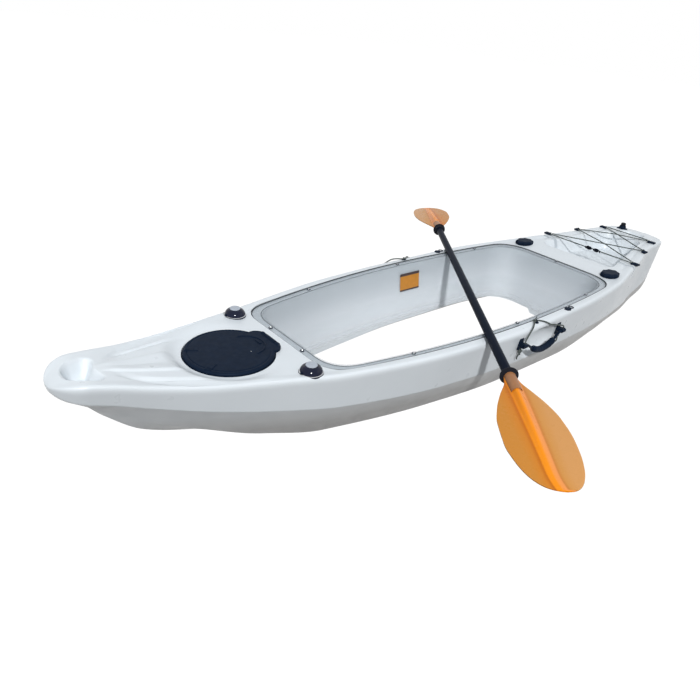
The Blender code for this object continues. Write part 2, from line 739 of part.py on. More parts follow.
def rod_frame(side):
    """Frame of a rod holder: +Z up its bore, origin on its seat."""
    seat = seat_height(ROD_X, ROD_Y)
    return Matrix.Translation((ROD_X, side * ROD_Y, seat + GAP)) @ Matrix.Rotation(-side * ROD_TILT, 4, "X")


def whole_hull():
    """The hollow hull with its well, seats, scoops and holes."""
    hull = loft([full_ring(x, rounded(section_corners(x))) for x in outer_stations()])
    adopt(hull, "hull", white_plastic())
    inner = loft([inner_ring(x) for x in np.linspace(STERN_X + 0.040, BOW_X - 0.060, 25)])
    inner.name = "hollow"
    wall = HULL_WALL
    for target, grow in ((hull, 0.0), (inner, wall)):
        cut(target, well_cutter(grow), "well")
        cut(target, rebate_cutter(grow), "rebate")
        cut(target, tank_cutter(grow), "tank")
        cut(target, scoop_cutter(BOW_SCOOP, grow), "bow_scoop")
        cut(target, scoop_cutter(STERN_SCOOP, grow), "stern_scoop")
        cut(target, hatch_seat_cutter(grow), "hatch_seat")
        cut(target, hinge_pocket_cutter(grow), "hinge_pocket")
        for side, word in ((1, "port"), (-1, "starboard")):
            cut(target, dome_cutter(side, grow), f"dome_{word}")
            cut(target, drain_cutter(side, grow), f"drain_{word}")
    for name, seat in fitting_seats():
        cut(hull, seat, f"seat_{name}")
    cut(hull, inner, "hollow")
    cut(hull, cylinder(HATCH_MOUTH_RADIUS + HATCH_NECK_WALL + RUN_GAP, 0.05, 32,
                       matrix=Matrix.Translation((HATCH_X, 0, HATCH_SEAT - 0.03))), "hatch_hole")
    for side, word in ((1, "port"), (-1, "starboard")):
        bore = cylinder(ROD_BORE_RADIUS + ROD_WALL + RUN_GAP, 0.06, 20,
                        matrix=rod_frame(side) @ Matrix.Translation((0, 0, -0.04)))
        cut(hull, bore, f"rod_hole_{word}")
    plug_seat = seat_height(PLUG_X, PLUG_Y)
    cut(hull, cylinder(PLUG_NECK_RADIUS + RUN_GAP, 0.05, 16,
                       matrix=Matrix.Translation((PLUG_X, PLUG_Y, plug_seat - 0.025))), "plug_hole")
    for number, (x, y) in enumerate(screw_places(), 1):
        cut(hull, cylinder(SCREW_HOLE_RADIUS, 0.045, 8,
                           matrix=Matrix.Translation((x, y, FLANGE_TOP - 0.03))), f"screw_hole_{number}")
    return hull


def build_hull():
    """The hull in four sections: the bow, the two sides of the cockpit, and the stern."""
    whole = as_mesh(whole_hull())
    fore, aft, middle, far = SECTION_BOW, SECTION_STERN, GAP / 2, 3.0
    sections = (("hull_bow", fore + middle, far, -far, far),
                ("hull_port", aft + middle, fore - middle, middle, far),
                ("hull_starboard", aft + middle, fore - middle, -far, -middle),
                ("hull_stern", -far, aft - middle, -far, far))
    for name, x0, x1, y0, y1 in sections:
        section = bpy.data.objects.new(name, whole.data.copy())
        adopt(section, name, white_plastic())
        cut(section, box((x1 - x0, y1 - y0, far), ((x0 + x1) / 2, (y0 + y1) / 2, 0)), "section", "INTERSECT")
    bpy.data.objects.remove(whole, do_unlink=True)


def build_tub():
    """The clear tub: flange, leaning walls and floor, one even wall thick."""
    side, end = lean(FOOT_HEIGHT)
    foot = FOOT_ROUND
    rings = [tub_outline(FLANGE_TOP, FLANGE_SIDE, FLANGE_FORE, FLANGE_AFT),
             tub_outline(FLANGE_TOP, 0.002, 0.002, 0.002),
             tub_outline(FLANGE_TOP - 0.003, -0.0006, -0.0008, -0.0008),
             tub_outline(FOOT_HEIGHT, -side, -end, -end),
             tub_outline(TUB_WALL + 0.3 * foot, -side - 0.25 * foot, -end - 0.3 * foot, -end - 0.3 * foot),
             tub_outline(TUB_WALL, -side - foot, -end - foot, -end - foot)]
    shape = bmesh.new()
    rows = [[shape.verts.new(point) for point in ring] for ring in rings]
    count = len(rows[0])
    for upper, lower in zip(rows, rows[1:]):
        for i in range(count):
            j = (i + 1) % count
            shape.faces.new((upper[i], lower[i], lower[j], upper[j]))
    shape.faces.new(rows[-1])
    data = bpy.data.meshes.new("clear_tub")
    bmesh.ops.recalc_face_normals(shape, faces=shape.faces)
    if shape.faces[-1].normal.z < 0:
        bmesh.ops.reverse_faces(shape, faces=shape.faces)
    shape.to_mesh(data)
    shape.free()
    tub = bpy.data.objects.new("clear_tub", data)
    adopt(tub, "clear_tub", clear_plastic())
    shell = tub.modifiers.new("wall", "SOLIDIFY")
    shell.thickness = TUB_WALL
    shell.offset = -1.0
    shell.use_even_offset = True
    for number, (x, y) in enumerate(screw_places(), 1):
        cut(tub, cylinder(SCREW_HOLE_RADIUS, 0.03, 8,
                          matrix=Matrix.Translation((x, y, FLANGE_TOP - 0.015))), f"screw_hole_{number}")
    return tub


def build_seal():
    """The sealing tape under the flange's outer edge."""
    top = FLANGE_TOP - TUB_WALL - GAP
    bottom = top - SEAL_THICKNESS
    out = (FLANGE_SIDE - 0.0005, FLANGE_FORE - 0.0005, FLANGE_AFT - 0.0005)
    inside = tuple(value - SEAL_WIDTH for value in out)
    seal = loft([tub_outline(bottom, *out), tub_outline(top, *out), tub_outline(top, *inside),
                 tub_outline(bottom, *inside)], closed=True)
    return adopt(seal, "tub_seal", rubber())


def build_screws():
    """The nine flange screws, each with its cup washer moulded to its head."""
    for number, (x, y) in enumerate(screw_places(), 1):
        screw = revolve([(0.0, 0.0042), (0.6 * SCREW_HEAD_RADIUS, 0.0038), (SCREW_HEAD_RADIUS, 0.0022),
                         (SCREW_WASHER_RADIUS, GAP), (SCREW_RADIUS, GAP),
                         (SCREW_RADIUS, -SCREW_LENGTH), (0.0, -SCREW_LENGTH)], 8)
        adopt(screw, f"tub_screw_{number}", steel())
        place(screw, (x, y, FLANGE_TOP))


def build_hatch():
    """Hatch ring, gasket, lid, two latches and the hinge pin."""
    ring_top = HATCH_RING_THICKNESS
    neck = HATCH_MOUTH_RADIUS + HATCH_NECK_WALL
    ring = revolve([(HATCH_MOUTH_RADIUS, ring_top), (HATCH_RING_RADIUS, ring_top), (HATCH_RING_RADIUS, 0.0),
                    (neck, 0.0), (neck, -HATCH_NECK_DEPTH), (HATCH_MOUTH_RADIUS, -HATCH_NECK_DEPTH)],
                   32, ring=True)
    place(ring, (HATCH_X, 0, HATCH_SEAT + GAP))
    ring = as_mesh(ring)
    adopt(ring, "hatch_ring", black_plastic())
    pin_x, pin_z = HATCH_X - HINGE_REACH, HATCH_SEAT + HINGE_RISE
    lug_y = HINGE_PIN_LENGTH / 2 - HINGE_LUG_WIDTH / 2 - 0.001
    foot = HATCH_SEAT + GAP
    for side, word in ((1, "port"), (-1, "starboard")):
        reach = HINGE_REACH - HATCH_RING_RADIUS + 0.03
        lug = box((reach, HINGE_LUG_WIDTH, pin_z - foot), (pin_x + reach / 2, side * lug_y, (pin_z + foot) / 2))
        cut(ring, lug, f"lug_{word}", "UNION")
        barrel = cylinder(HINGE_BARREL_RADIUS, HINGE_LUG_WIDTH, 12, matrix=Matrix.Translation(
            (pin_x, side * lug_y + HINGE_LUG_WIDTH / 2, pin_z)) @ Matrix.Rotation(math.pi / 2, 4, "X"))
        cut(ring, barrel, f"barrel_{word}", "UNION")
    lid_room = cylinder(HATCH_LID_RADIUS + 0.0016, 0.05, 32,
                        matrix=Matrix.Translation((HATCH_X, 0, foot + ring_top + 0.0002)))
    cut(ring, lid_room, "lid_room")
    cut(ring, cylinder(HINGE_PIN_RADIUS + GAP, HINGE_PIN_LENGTH + 0.02, 10, matrix=Matrix.Translation(
        (pin_x, HINGE_PIN_LENGTH / 2 + 0.01, pin_z)) @ Matrix.Rotation(math.pi / 2, 4, "X")), "pin_hole")

    gasket_bottom = ring_top + GAP
    gasket_top = gasket_bottom + HATCH_GASKET_THICKNESS
    inner = HATCH_MOUTH_RADIUS + 0.008
    gasket = revolve([(inner, gasket_top), (inner + HATCH_GASKET_WIDTH, gasket_top),
                      (inner + HATCH_GASKET_WIDTH, gasket_bottom), (inner, gasket_bottom)], 32, ring=True)
    adopt(gasket, "hatch_gasket", rubber())
    place(gasket, (HATCH_X, 0, HATCH_SEAT + GAP))

    under = gasket_top + GAP
    top = under + HATCH_LID_THICKNESS
    skirt = HATCH_LID_RADIUS - 0.004
    lid = revolve([(0.0, top), (0.70 * HATCH_LID_RADIUS, top), (HATCH_LID_RADIUS - 0.005, top - 0.0012),
                   (HATCH_LID_RADIUS, top - 0.005), (HATCH_LID_RADIUS, ring_top + 0.0008),
                   (skirt, ring_top + 0.0008), (skirt, under), (HATCH_MOUTH_RADIUS - 0.004, under),
                   (HATCH_MOUTH_RADIUS - 0.004, under - 0.008), (HATCH_MOUTH_RADIUS - 0.008, under - 0.008),
                   (HATCH_MOUTH_RADIUS - 0.008, under), (0.0, under)], 32)
    place(lid, (HATCH_X - pin_x, 0, HATCH_SEAT + GAP - pin_z))
    lid = as_mesh(lid)
    adopt(lid, "hatch_lid", black_plastic())
    tongue_reach = HINGE_REACH - HATCH_LID_RADIUS + 0.02
    tongue_low = HATCH_SEAT + GAP + ring_top + 0.0025 - pin_z
    tongue_high = HATCH_SEAT + GAP + top - 0.002 - pin_z
    cut(lid, box((tongue_reach, HINGE_TONGUE_WIDTH, tongue_high - tongue_low),
                 (tongue_reach / 2, 0, (tongue_high + tongue_low) / 2)), "tongue", "UNION")
    cut(lid, cylinder(HINGE_BARREL_RADIUS, HINGE_TONGUE_WIDTH, 12, matrix=Matrix.Translation(
        (0, HINGE_TONGUE_WIDTH / 2, 0)) @ Matrix.Rotation(math.pi / 2, 4, "X")), "barrel", "UNION")
    cut(lid, cylinder(HINGE_PIN_RADIUS + GAP, HINGE_PIN_LENGTH + 0.02, 10, matrix=Matrix.Translation(
        (0, HINGE_PIN_LENGTH / 2 + 0.01, 0)) @ Matrix.Rotation(math.pi / 2, 4, "X")), "pin_hole")
    for side in (1, -1):
        turn = Matrix.Rotation(side * LATCH_ANGLE, 4, "Z")
        pocket = box((LATCH_LENGTH + 0.004, LATCH_WIDTH + 0.003, 0.02), (LATCH_LENGTH / 2, 0, 0.01))
        pocket.data.transform(Matrix.Translation((HATCH_X - pin_x, 0, HATCH_SEAT + GAP + top - 0.004 - pin_z))
                              @ turn @ Matrix.Translation((LATCH_REACH - 0.001, 0, 0)))
        cut(lid, pocket, f"latch_pocket_{side}")
    place(lid, (pin_x, 0, pin_z))
    for item in bpy.data.collections[CUTTERS].objects:
        if item.name.startswith("hatch_lid_"):
            item.parent = lid

    pin = cylinder(HINGE_PIN_RADIUS, HINGE_PIN_LENGTH, 10,
                   matrix=Matrix.Translation((0, HINGE_PIN_LENGTH / 2, 0)) @ Matrix.Rotation(math.pi / 2, 4, "X"))
    adopt(pin, "hatch_hinge_pin", steel())
    place(pin, (pin_x, 0, pin_z))

    pocket_floor = HATCH_SEAT + GAP + top - 0.004
    for side, word in ((1, "port"), (-1, "starboard")):
        latch = box((LATCH_LENGTH, LATCH_WIDTH, LATCH_THICKNESS), (LATCH_LENGTH / 2, 0, LATCH_THICKNESS / 2 + GAP))
        adopt(latch, f"hatch_latch_{word}", black_plastic())
        bevel = latch.modifiers.new("edge", "BEVEL")
        bevel.width = 0.0015
        bevel.segments = 1
        turn = side * LATCH_ANGLE
        place(latch, (HATCH_X + (LATCH_REACH + 0.001) * math.cos(turn), (LATCH_REACH + 0.001) * math.sin(turn),
                      pocket_floor), (0, 0, turn))


def build_socket(side, word):
    """A round accessory socket with its lift-out cap and release button."""
    seat = seat_height(SOCKET_X, SOCKET_Y) + GAP
    top = SOCKET_HEIGHT
    base = revolve([(SOCKET_BORE_RADIUS, top), (0.55 * SOCKET_RADIUS, top - 0.001),
                    (0.78 * SOCKET_RADIUS, top - 0.007), (0.92 * SOCKET_RADIUS, 0.009),
                    (0.92 * SOCKET_RADIUS, 0.004), (SOCKET_RADIUS, 0.004), (SOCKET_RADIUS, 0.0), (0.0, 0.0),
                    (0.0, top - SOCKET_BORE_DEPTH), (SOCKET_BORE_RADIUS, top - SOCKET_BORE_DEPTH)],
                   20, ring=True)
    place(base, (SOCKET_X, side * SOCKET_Y, seat))
    base = as_mesh(base)
    adopt(base, f"socket_base_{word}", gloss_black())
    button_x = SOCKET_BORE_RADIUS + 0.004
    along = Matrix.Rotation(math.pi / 2, 4, "Y")
    bore = cylinder(BUTTON_RADIUS + GAP, 0.04, 8, matrix=Matrix.Translation(
        (SOCKET_X + button_x, side * SOCKET_Y, seat + BUTTON_RISE)) @ along)
    cut(base, bore, "button_bore")
    cap = revolve([(0.0, top + SOCKET_CAP_THICKNESS), (SOCKET_CAP_RADIUS - 0.002, top + SOCKET_CAP_THICKNESS),
                   (SOCKET_CAP_RADIUS, top + 0.0025), (SOCKET_CAP_RADIUS, top + GAP),
                   (SOCKET_BORE_RADIUS - RUN_GAP, top + GAP), (SOCKET_BORE_RADIUS - RUN_GAP, top - SOCKET_PLUG_LENGTH),
                   (0.0, top - SOCKET_PLUG_LENGTH)], 20)
    adopt(cap, f"socket_cap_{word}", grey_cap())
    place(cap, (SOCKET_X, side * SOCKET_Y, seat))
    reach = 0.92 * SOCKET_RADIUS + 0.0045
    button = cylinder(BUTTON_RADIUS, BUTTON_LENGTH, 8, matrix=along)
    adopt(button, f"socket_button_{word}", black_plastic())
    place(button, (SOCKET_X + reach - BUTTON_LENGTH, side * SOCKET_Y, seat + BUTTON_RISE))


def oval(length, width, wave=0.0, waves=0, count=32):
    """An oval outline, optionally scalloped."""
    loop = []
    for turn in np.linspace(0, 2 * math.pi, count, endpoint=False):
        swell = 1 + wave * math.cos(waves * turn)
        loop.append((length / 2 * swell * math.cos(turn), width / 2 * swell * math.sin(turn)))
    return loop


def build_rod_holder(side, word):
    """A flush rod holder and its scalloped cap."""
    seat = seat_height(ROD_X, ROD_Y) + GAP
    frame = rod_frame(side)
    flange = cylinder(ROD_FLANGE_LENGTH / 2, ROD_FLANGE_THICKNESS, 24,
                      squash=ROD_FLANGE_WIDTH / ROD_FLANGE_LENGTH,
                      matrix=Matrix.Translation((ROD_X, side * ROD_Y, seat)))
    adopt(flange, f"rod_holder_{word}", black_plastic())
    tube_outer = cylinder(ROD_BORE_RADIUS + ROD_WALL, ROD_DEPTH + ROD_WALL + 0.02, 20,
                          matrix=frame @ Matrix.Translation((0, 0, -ROD_DEPTH - ROD_WALL)))
    cut(flange, tube_outer, "tube", "UNION")
    cut(flange, cylinder(ROD_FLANGE_LENGTH, 0.05, 16, matrix=Matrix.Translation(
        (ROD_X, side * ROD_Y, seat + ROD_FLANGE_THICKNESS))), "face")
    cut(flange, cylinder(ROD_BORE_RADIUS, ROD_DEPTH + 0.03, 20,
                         matrix=frame @ Matrix.Translation((0, 0, -ROD_DEPTH))), "bore")
    low = seat + ROD_FLANGE_THICKNESS + GAP
    fit = 1 - ROD_CAP_WAVE - 0.01
    outline = oval(fit * ROD_FLANGE_LENGTH, fit * ROD_FLANGE_WIDTH, ROD_CAP_WAVE, ROD_CAP_WAVES)
    loops = []
    for share, rise in ((1.0, 0.0), (1.0, 0.45 * ROD_CAP_HEIGHT), (0.86, 0.85 * ROD_CAP_HEIGHT),
                        (0.60, ROD_CAP_HEIGHT)):
        loops.append([(ROD_X + x * share, side * ROD_Y + y * share, low + rise) for x, y in outline])
    cap = loft(loops)
    inverse = frame.inverted()
    cap.data.transform(inverse)
    adopt(cap, f"rod_holder_cap_{word}", black_plastic())
    cap.matrix_world = frame
    bpy.context.view_layer.update()
    plug = cylinder(ROD_BORE_RADIUS - RUN_GAP, ROD_CAP_PLUG + 0.010, 20,
                    matrix=frame @ Matrix.Translation((0, 0, -ROD_CAP_PLUG)))
    cut(cap, plug, "plug", "UNION")


def torus(radius, wire, matrix, segments=12, sides=6):
    """A ring of round wire."""
    bpy.ops.mesh.primitive_torus_add(major_radius=radius, minor_radius=wire, major_segments=segments,
                                     minor_segments=sides)
    item = bpy.context.object
    item.data.transform(matrix)
    return item


def build_pad_eye(side, word):
    """A six-sided pad with a wire ring at its aft end."""
    seat = seat_height(EYE_X, EYE_Y) + GAP
    pad = cylinder(EYE_LENGTH / 2, EYE_THICKNESS, 6, top_radius=0.82 * EYE_LENGTH / 2,
                   squash=EYE_WIDTH / EYE_LENGTH / 0.866,
                   matrix=Matrix.Translation((EYE_X, side * EYE_Y, seat)))
    adopt(pad, f"pad_eye_{word}", black_plastic())
    ring = torus(EYE_RING_RADIUS, EYE_WIRE_RADIUS, Matrix.Translation(
        (EYE_X - EYE_LENGTH / 2 - 0.55 * EYE_RING_RADIUS, side * EYE_Y, seat + EYE_THICKNESS / 2 + 0.002)))
    cut(pad, ring, "ring", "UNION")


def build_lug(side, word, end, end_word):
    """A handle lug: base plate and a bored barrel."""
    face = side * (lug_face(end) + GAP)
    plate_middle = face + side * LUG_BASE / 2
    lug = box((LUG_WIDTH, LUG_BASE, LUG_HEIGHT), (lug_x(end), plate_middle, HANDLE_AXIS_Z))
    adopt(lug, f"handle_lug_{word}_{end_word}", black_plastic())
    bevel = lug.modifiers.new("edge", "BEVEL")
    bevel.width = 0.002
    bevel.segments = 1
    axis = Matrix.Translation((lug_x(end) - (LUG_WIDTH - 0.004) / 2, side * HANDLE_AXIS_Y, HANDLE_AXIS_Z)) \
        @ Matrix.Rotation(math.pi / 2, 4, "Y")
    neck = HANDLE_AXIS_Y - abs(face) - 0.001
    cut(lug, box((LUG_WIDTH - 0.004, neck, 1.6 * LUG_BARREL_RADIUS),
                 (lug_x(end), face + side * (neck / 2 + 0.001), HANDLE_AXIS_Z)), "neck", "UNION")
    cut(lug, cylinder(LUG_BARREL_RADIUS, LUG_WIDTH - 0.004, 14, matrix=axis), "barrel", "UNION")
    cut(lug, cylinder(HANDLE_PIN_RADIUS + RUN_GAP, LUG_WIDTH + 0.02, 12,
                      matrix=Matrix.Translation((-0.01, 0, 0)) @ axis), "bore")


def handle_route():
    """Points and radii of a carry handle about its pivot axis, fore to aft, hanging at +Y side."""
    points, radii = [], []
    reach = HANDLE_HALF_SPAN + 0.008
    inner = HANDLE_HALF_SPAN - LUG_WIDTH / 2
    grip = GRIP_HALF_LENGTH
    thick = GRIP_RADIUS / HANDLE_PIN_RADIUS
    marks = [(reach, 0.0, 1.0), (inner - 0.002, 0.0, 1.0), (inner - 0.012, 0.10, 1.0),
             (0.5 * (inner + grip), 0.30, 1.0), (grip + 0.004, 0.50, 1.15), (grip - 0.004, 0.57, 0.8 * thick),
             (0.80 * grip, 0.70, thick), (0.55 * grip, 0.87, thick), (0.28 * grip, 0.97, thick)]
    full = marks + [(0.0, 1.0, thick)] + [(-x, drop, size) for x, drop, size in reversed(marks)]
    for x, drop, size in full:
        points.append((x, GRIP_OUT * drop, -GRIP_DROP * drop))
        radii.append(size)
    return points, radii


def build_handle(side, word):
    """A carry handle, its pivots in two lugs, and its paddle-park cord with an eye."""
    points, radii = handle_route()
    handle = tube([(x, side * y, z) for x, y, z in points], HANDLE_PIN_RADIUS, 3, radii)
    adopt(handle, f"carry_handle_{word}", black_plastic(), smooth=None)
    place(handle, (HANDLE_X, side * HANDLE_AXIS_Y, HANDLE_AXIS_Z))
    for end, end_word in ((1, "fore"), (-1, "aft")):
        build_lug(side, word, end, end_word)
    seat = seat_height(PARK_EYE_X, PARK_EYE_Y) + GAP
    base = cylinder(0.0105, 0.003, 12, matrix=Matrix.Translation((PARK_EYE_X, side * PARK_EYE_Y, seat)))
    adopt(base, f"park_eye_{word}", black_plastic())
    eye_z = seat + 0.003 + 0.7 * PARK_EYE_RADIUS
    cut(base, torus(PARK_EYE_RADIUS, PARK_EYE_WIRE, Matrix.Translation(
        (PARK_EYE_X, side * PARK_EYE_Y, eye_z)) @ Matrix.Rotation(math.pi / 2, 4, "Y")), "ring", "UNION")
    fore, aft = lug_x(1), lug_x(-1)
    top = HANDLE_AXIS_Z + LUG_BARREL_RADIUS + GAP
    route = [(fore, HANDLE_AXIS_Y, top), (fore, HANDLE_AXIS_Y, top + 0.010), (fore - 0.008, 0.4015, top + 0.022),
             (fore - 0.026, 0.397, top + 0.034), (fore - 0.052, 0.389, eye_z - 0.004),
             (fore - 0.078, 0.375, eye_z), (PARK_EYE_X + 0.010, PARK_EYE_Y, eye_z),
             (PARK_EYE_X - 0.010, PARK_EYE_Y, eye_z), (PARK_EYE_X - 0.025, 0.3750, eye_z - 0.001),
             (PARK_EYE_X - 0.042, 0.3860, eye_z - 0.006), (PARK_EYE_X - 0.062, 0.3925, eye_z - 0.016),
             (PARK_EYE_X - 0.090, 0.3945, eye_z - 0.024), (aft + 0.026, 0.3975, top + 0.017),
             (aft + 0.006, 0.402, top + 0.013), (aft, HANDLE_AXIS_Y, top + 0.006), (aft, HANDLE_AXIS_Y, top)]
    cord = tube(smooth_route([(x, side * y, z) for x, y, z in route], 2), PARK_CORD_RADIUS, 2)
    adopt(cord, f"park_cord_{word}", cord_black(), smooth=None)


def smooth_route(points, steps):
    """A smooth line through route points, with steps between each pair."""
    line = []
    guide = [Vector(point) for point in points]
    for i in range(len(guide) - 1):
        before = guide[max(i - 1, 0)]
        here, there = guide[i], guide[i + 1]
        after = guide[min(i + 2, len(guide) - 1)]
        for k in range(steps):
            t = k / steps
            leave, reach = (there - before) / 2, (after - here) / 2
            line.append(here * (2 * t**3 - 3 * t**2 + 1) + leave * (t**3 - 2 * t**2 + t)
                        + there * (3 * t**2 - 2 * t**3) + reach * (t**3 - t**2))
    line.append(guide[-1])
    return [tuple(point) for point in line]


def build_anchor(number, x, y, length, side):
    """A deck cord anchor: a pad with an upright ring at its inboard end."""
    seat = anchor_seat(x) + GAP
    pad = cylinder(ANCHOR_WIDTH / 2, ANCHOR_THICKNESS, 12, top_radius=0.85 * ANCHOR_WIDTH / 2,
                   squash=length / ANCHOR_WIDTH,
                   matrix=Matrix.Translation((x, side * (y + anchor_shift(length)), seat)))
    adopt(pad, f"deck_anchor_{number}", black_plastic())
    ring = torus(ANCHOR_RING_RADIUS, ANCHOR_WIRE, Matrix.Translation(
        (x, side * y, seat + ANCHOR_RING_RISE)) @ Matrix.Rotation(math.pi / 2, 4, "Y"))
    cut(pad, ring, "ring", "UNION")


def anchor_eye(number, side):
    """Middle of the ring of a deck cord anchor."""
    x, y, _ = ANCHORS[number]
    return Vector((x, side * y, anchor_seat(x) + GAP + ANCHOR_RING_RISE))


def cord_turn(eye, side, reverse):
    """Points of the cord through one anchor ring, running fore to aft or back."""
    inward = -side
    seated = ANCHOR_RING_RADIUS - ANCHOR_WIRE - DECK_CORD_RADIUS - GAP
    points = [eye + Vector((0.011, inward * 0.0125, 0)), eye + Vector((0.0085, inward * 0.0050, 0)),
              eye + Vector((0.0035, inward * seated, 0)), eye + Vector((-0.0035, inward * seated, 0)),
              eye + Vector((-0.0085, inward * 0.0050, 0)), eye + Vector((-0.011, inward * 0.0125, 0))]
    return list(reversed(points)) if reverse else points


def build_deck_cord():
    """The laced cord over the tank well, its anchors and its end connector."""
    number = 1
    for side in (1, -1):
        for x, y, length in ANCHORS:
            build_anchor(number, x, y, length, side)
            number += 1
    star1, star2, star3 = (anchor_eye(i, -1) for i in range(3))
    port1, port2, port3 = (anchor_eye(i, 1) for i in range(3))
    fore_x = port1.x + 0.011
    height = (port1.z + star1.z) / 2
    middle = Vector((fore_x, CONNECTOR_Y, height))
    tip = CONNECTOR_LENGTH / 2 - 0.008
    lace = [middle + Vector((0, -tip, 0)), star1 + Vector((0.011, 0.020, 0))]
    lace += cord_turn(star1, -1, False)
    lace += strand(star1, port2, 0.0)
    lace += cord_turn(port2, 1, False)
    lace += strand(port2, star3, 0.0)
    lace += cord_turn(star3, -1, False)
    lace += cord_turn(port3, 1, True)
    lace += strand(port3, star2, CORD_HUMP)
    lace += cord_turn(star2, -1, True)
    lace += strand(star2, port1, CORD_HUMP)
    lace += cord_turn(port1, 1, True)
    lace += [port1 + Vector((0.011, -0.020, 0)), middle + Vector((0, tip, 0))]
    cord = tube([tuple(point) for point in lace], DECK_CORD_RADIUS, 2)
    adopt(cord, "deck_cord", cord_black(), smooth=None)
    half, radius = CONNECTOR_LENGTH / 2, CONNECTOR_RADIUS
    bore = DECK_CORD_RADIUS + GAP
    joint = revolve([(0.0, half), (0.7 * radius, half), (radius, half - 0.004), (radius, 0.35 * half),
                     (0.6 * radius, 0.22 * half), (0.6 * radius, -0.22 * half), (radius, -0.35 * half),
                     (radius, -half + 0.004), (0.7 * radius, -half), (0.0, -half)], 12)
    place(joint, middle, (math.pi / 2, 0, 0))
    joint = as_mesh(joint)
    adopt(joint, "cord_connector", black_plastic())
    for side in (1, -1):
        hole = cylinder(bore, 0.03, 10, matrix=Matrix.Translation(
            (middle.x, middle.y + side * (half - 0.010), middle.z)) @ Matrix.Rotation(-side * math.pi / 2, 4, "X"))
        cut(joint, hole, f"bore_{side}")


def strand(start, end, hump):
    """Middle points of a strand between two anchors, lifted where it crosses another."""
    line = end - start
    return [start + line * share + Vector((0, 0, hump * lift))
            for share, lift in ((0.30, 0.55), (0.50, 1.0), (0.70, 0.55))]


def build_plug():
    """The screw-in drain plug: threaded body and knob."""
    seat = seat_height(PLUG_X, PLUG_Y) + GAP
    body = revolve([(PLUG_BORE_RADIUS, PLUG_HEIGHT), (0.55 * PLUG_FLANGE_RADIUS, PLUG_HEIGHT),
                    (0.72 * PLUG_FLANGE_RADIUS, 0.004), (PLUG_FLANGE_RADIUS, 0.003), (PLUG_FLANGE_RADIUS, 0.0),
                    (PLUG_NECK_RADIUS, 0.0), (PLUG_NECK_RADIUS, -0.018), (PLUG_BORE_RADIUS, -0.018)],
                   20, ring=True)
    adopt(body, "drain_plug_body", black_plastic())
    place(body, (PLUG_X, PLUG_Y, seat))
    top = PLUG_HEIGHT + PLUG_KNOB_HEIGHT
    knob = revolve([(0.0, top), (0.8 * PLUG_KNOB_RADIUS, top), (PLUG_KNOB_RADIUS, top - 0.003),
                    (PLUG_KNOB_RADIUS, PLUG_HEIGHT + GAP), (PLUG_BORE_RADIUS - GAP, PLUG_HEIGHT + GAP),
                    (PLUG_BORE_RADIUS - GAP, -0.012), (0.0, -0.012)], 16)
    adopt(knob, "drain_plug_knob", black_plastic())
    place(knob, (PLUG_X, PLUG_Y, seat))


def paddle_frame():
    """Frame of the paddle: origin at the shaft's middle, +X to the port blade, +Z up."""
    port = Vector((*SHAFT_PORT_XY, SHAFT_BOTTOM_PORT + SHAFT_RADIUS))
    starboard = Vector((*SHAFT_STARBOARD_XY, SHAFT_BOTTOM_STARBOARD + SHAFT_RADIUS))
    along = (port - starboard).normalized()
    across = Vector((0, 0, 1)).cross(along).normalized()
    upward = along.cross(across)
    middle = port - along * SHAFT_MIDDLE_FROM_PORT
    frame = Matrix((along, across, upward)).transposed().to_4x4()
    frame.translation = middle
    return frame @ Matrix.Rotation(BLADE_ROLL, 4, "X")


BLADE_LOW, BLADE_HIGH = (smooth_line([row[0] for row in BLADE_OFFSETS], [row[column] for row in BLADE_OFFSETS])
                         for column in (1, 2))


def blade_shape():
    """One blade along +X from its drip ring: spined, drooping plate with a socket."""
    across = [-1.0, -0.62, -0.28, -0.12, 0.0, 0.12, 0.28, 0.62, 1.0]
    shape = bmesh.new()
    rows = []
    for x in BLADE_STATIONS:
        low, high = BLADE_LOW(x), BLADE_HIGH(x)
        middle = max(0.0, -low) + 0.35 * fade(x, 0.43, 0.505) * (high - low) / 2
        ridge = SPINE_HEIGHT * (1 - fade(x, 0.05, 0.485))
        row = []
        for share in across:
            y = middle + share * (high - middle if share > 0 else low + middle)
            near = abs(y - middle) / (SPINE_HALF_WIDTH * (1 - x) + 0.001)
            row.append(shape.verts.new((x, y, -BLADE_DROOP * x * x + ridge * max(0.0, 1 - near))))
        rows.append(row)
    for lower, upper in zip(rows, rows[1:]):
        for i in range(len(across) - 1):
            shape.faces.new((lower[i], upper[i], upper[i + 1], lower[i + 1]))
    bmesh.ops.triangulate(shape, faces=shape.faces)
    return from_bmesh(shape)


def build_blade(frame, end, word):
    """A blade on its end of the shaft, with a bored socket round the shaft."""
    turn = frame @ Matrix.Rotation(0.0 if end > 0 else math.pi, 4, "Z")
    start = RING_FROM_MIDDLE
    blade = blade_shape()
    if blade.data.polygons[0].normal.z < 0:
        blade.data.flip_normals()
    blade.data.transform(Matrix.Translation((start, 0, 0)))
    adopt(blade, f"paddle_blade_{word}", orange_plastic())
    blade.matrix_world = turn
    bpy.context.view_layer.update()
    shell = blade.modifiers.new("thickness", "SOLIDIFY")
    shell.thickness = BLADE_THICKNESS
    shell.offset = 0.0
    outer = SHAFT_RADIUS + GAP + SOCKET_WALL
    along = Matrix.Rotation(math.pi / 2, 4, "Y")
    sleeve_start = start + RING_LENGTH / 2 + GAP
    cut(blade, cylinder(outer, SOCKET_LENGTH, 20, top_radius=outer - 0.003,
                        matrix=turn @ Matrix.Translation((sleeve_start, 0, 0)) @ along), "socket", "UNION")
    cut(blade, cylinder(SHAFT_RADIUS + GAP, start + SHAFT_PAST_RING + GAP, 20, matrix=turn @ along), "bore")
    return blade


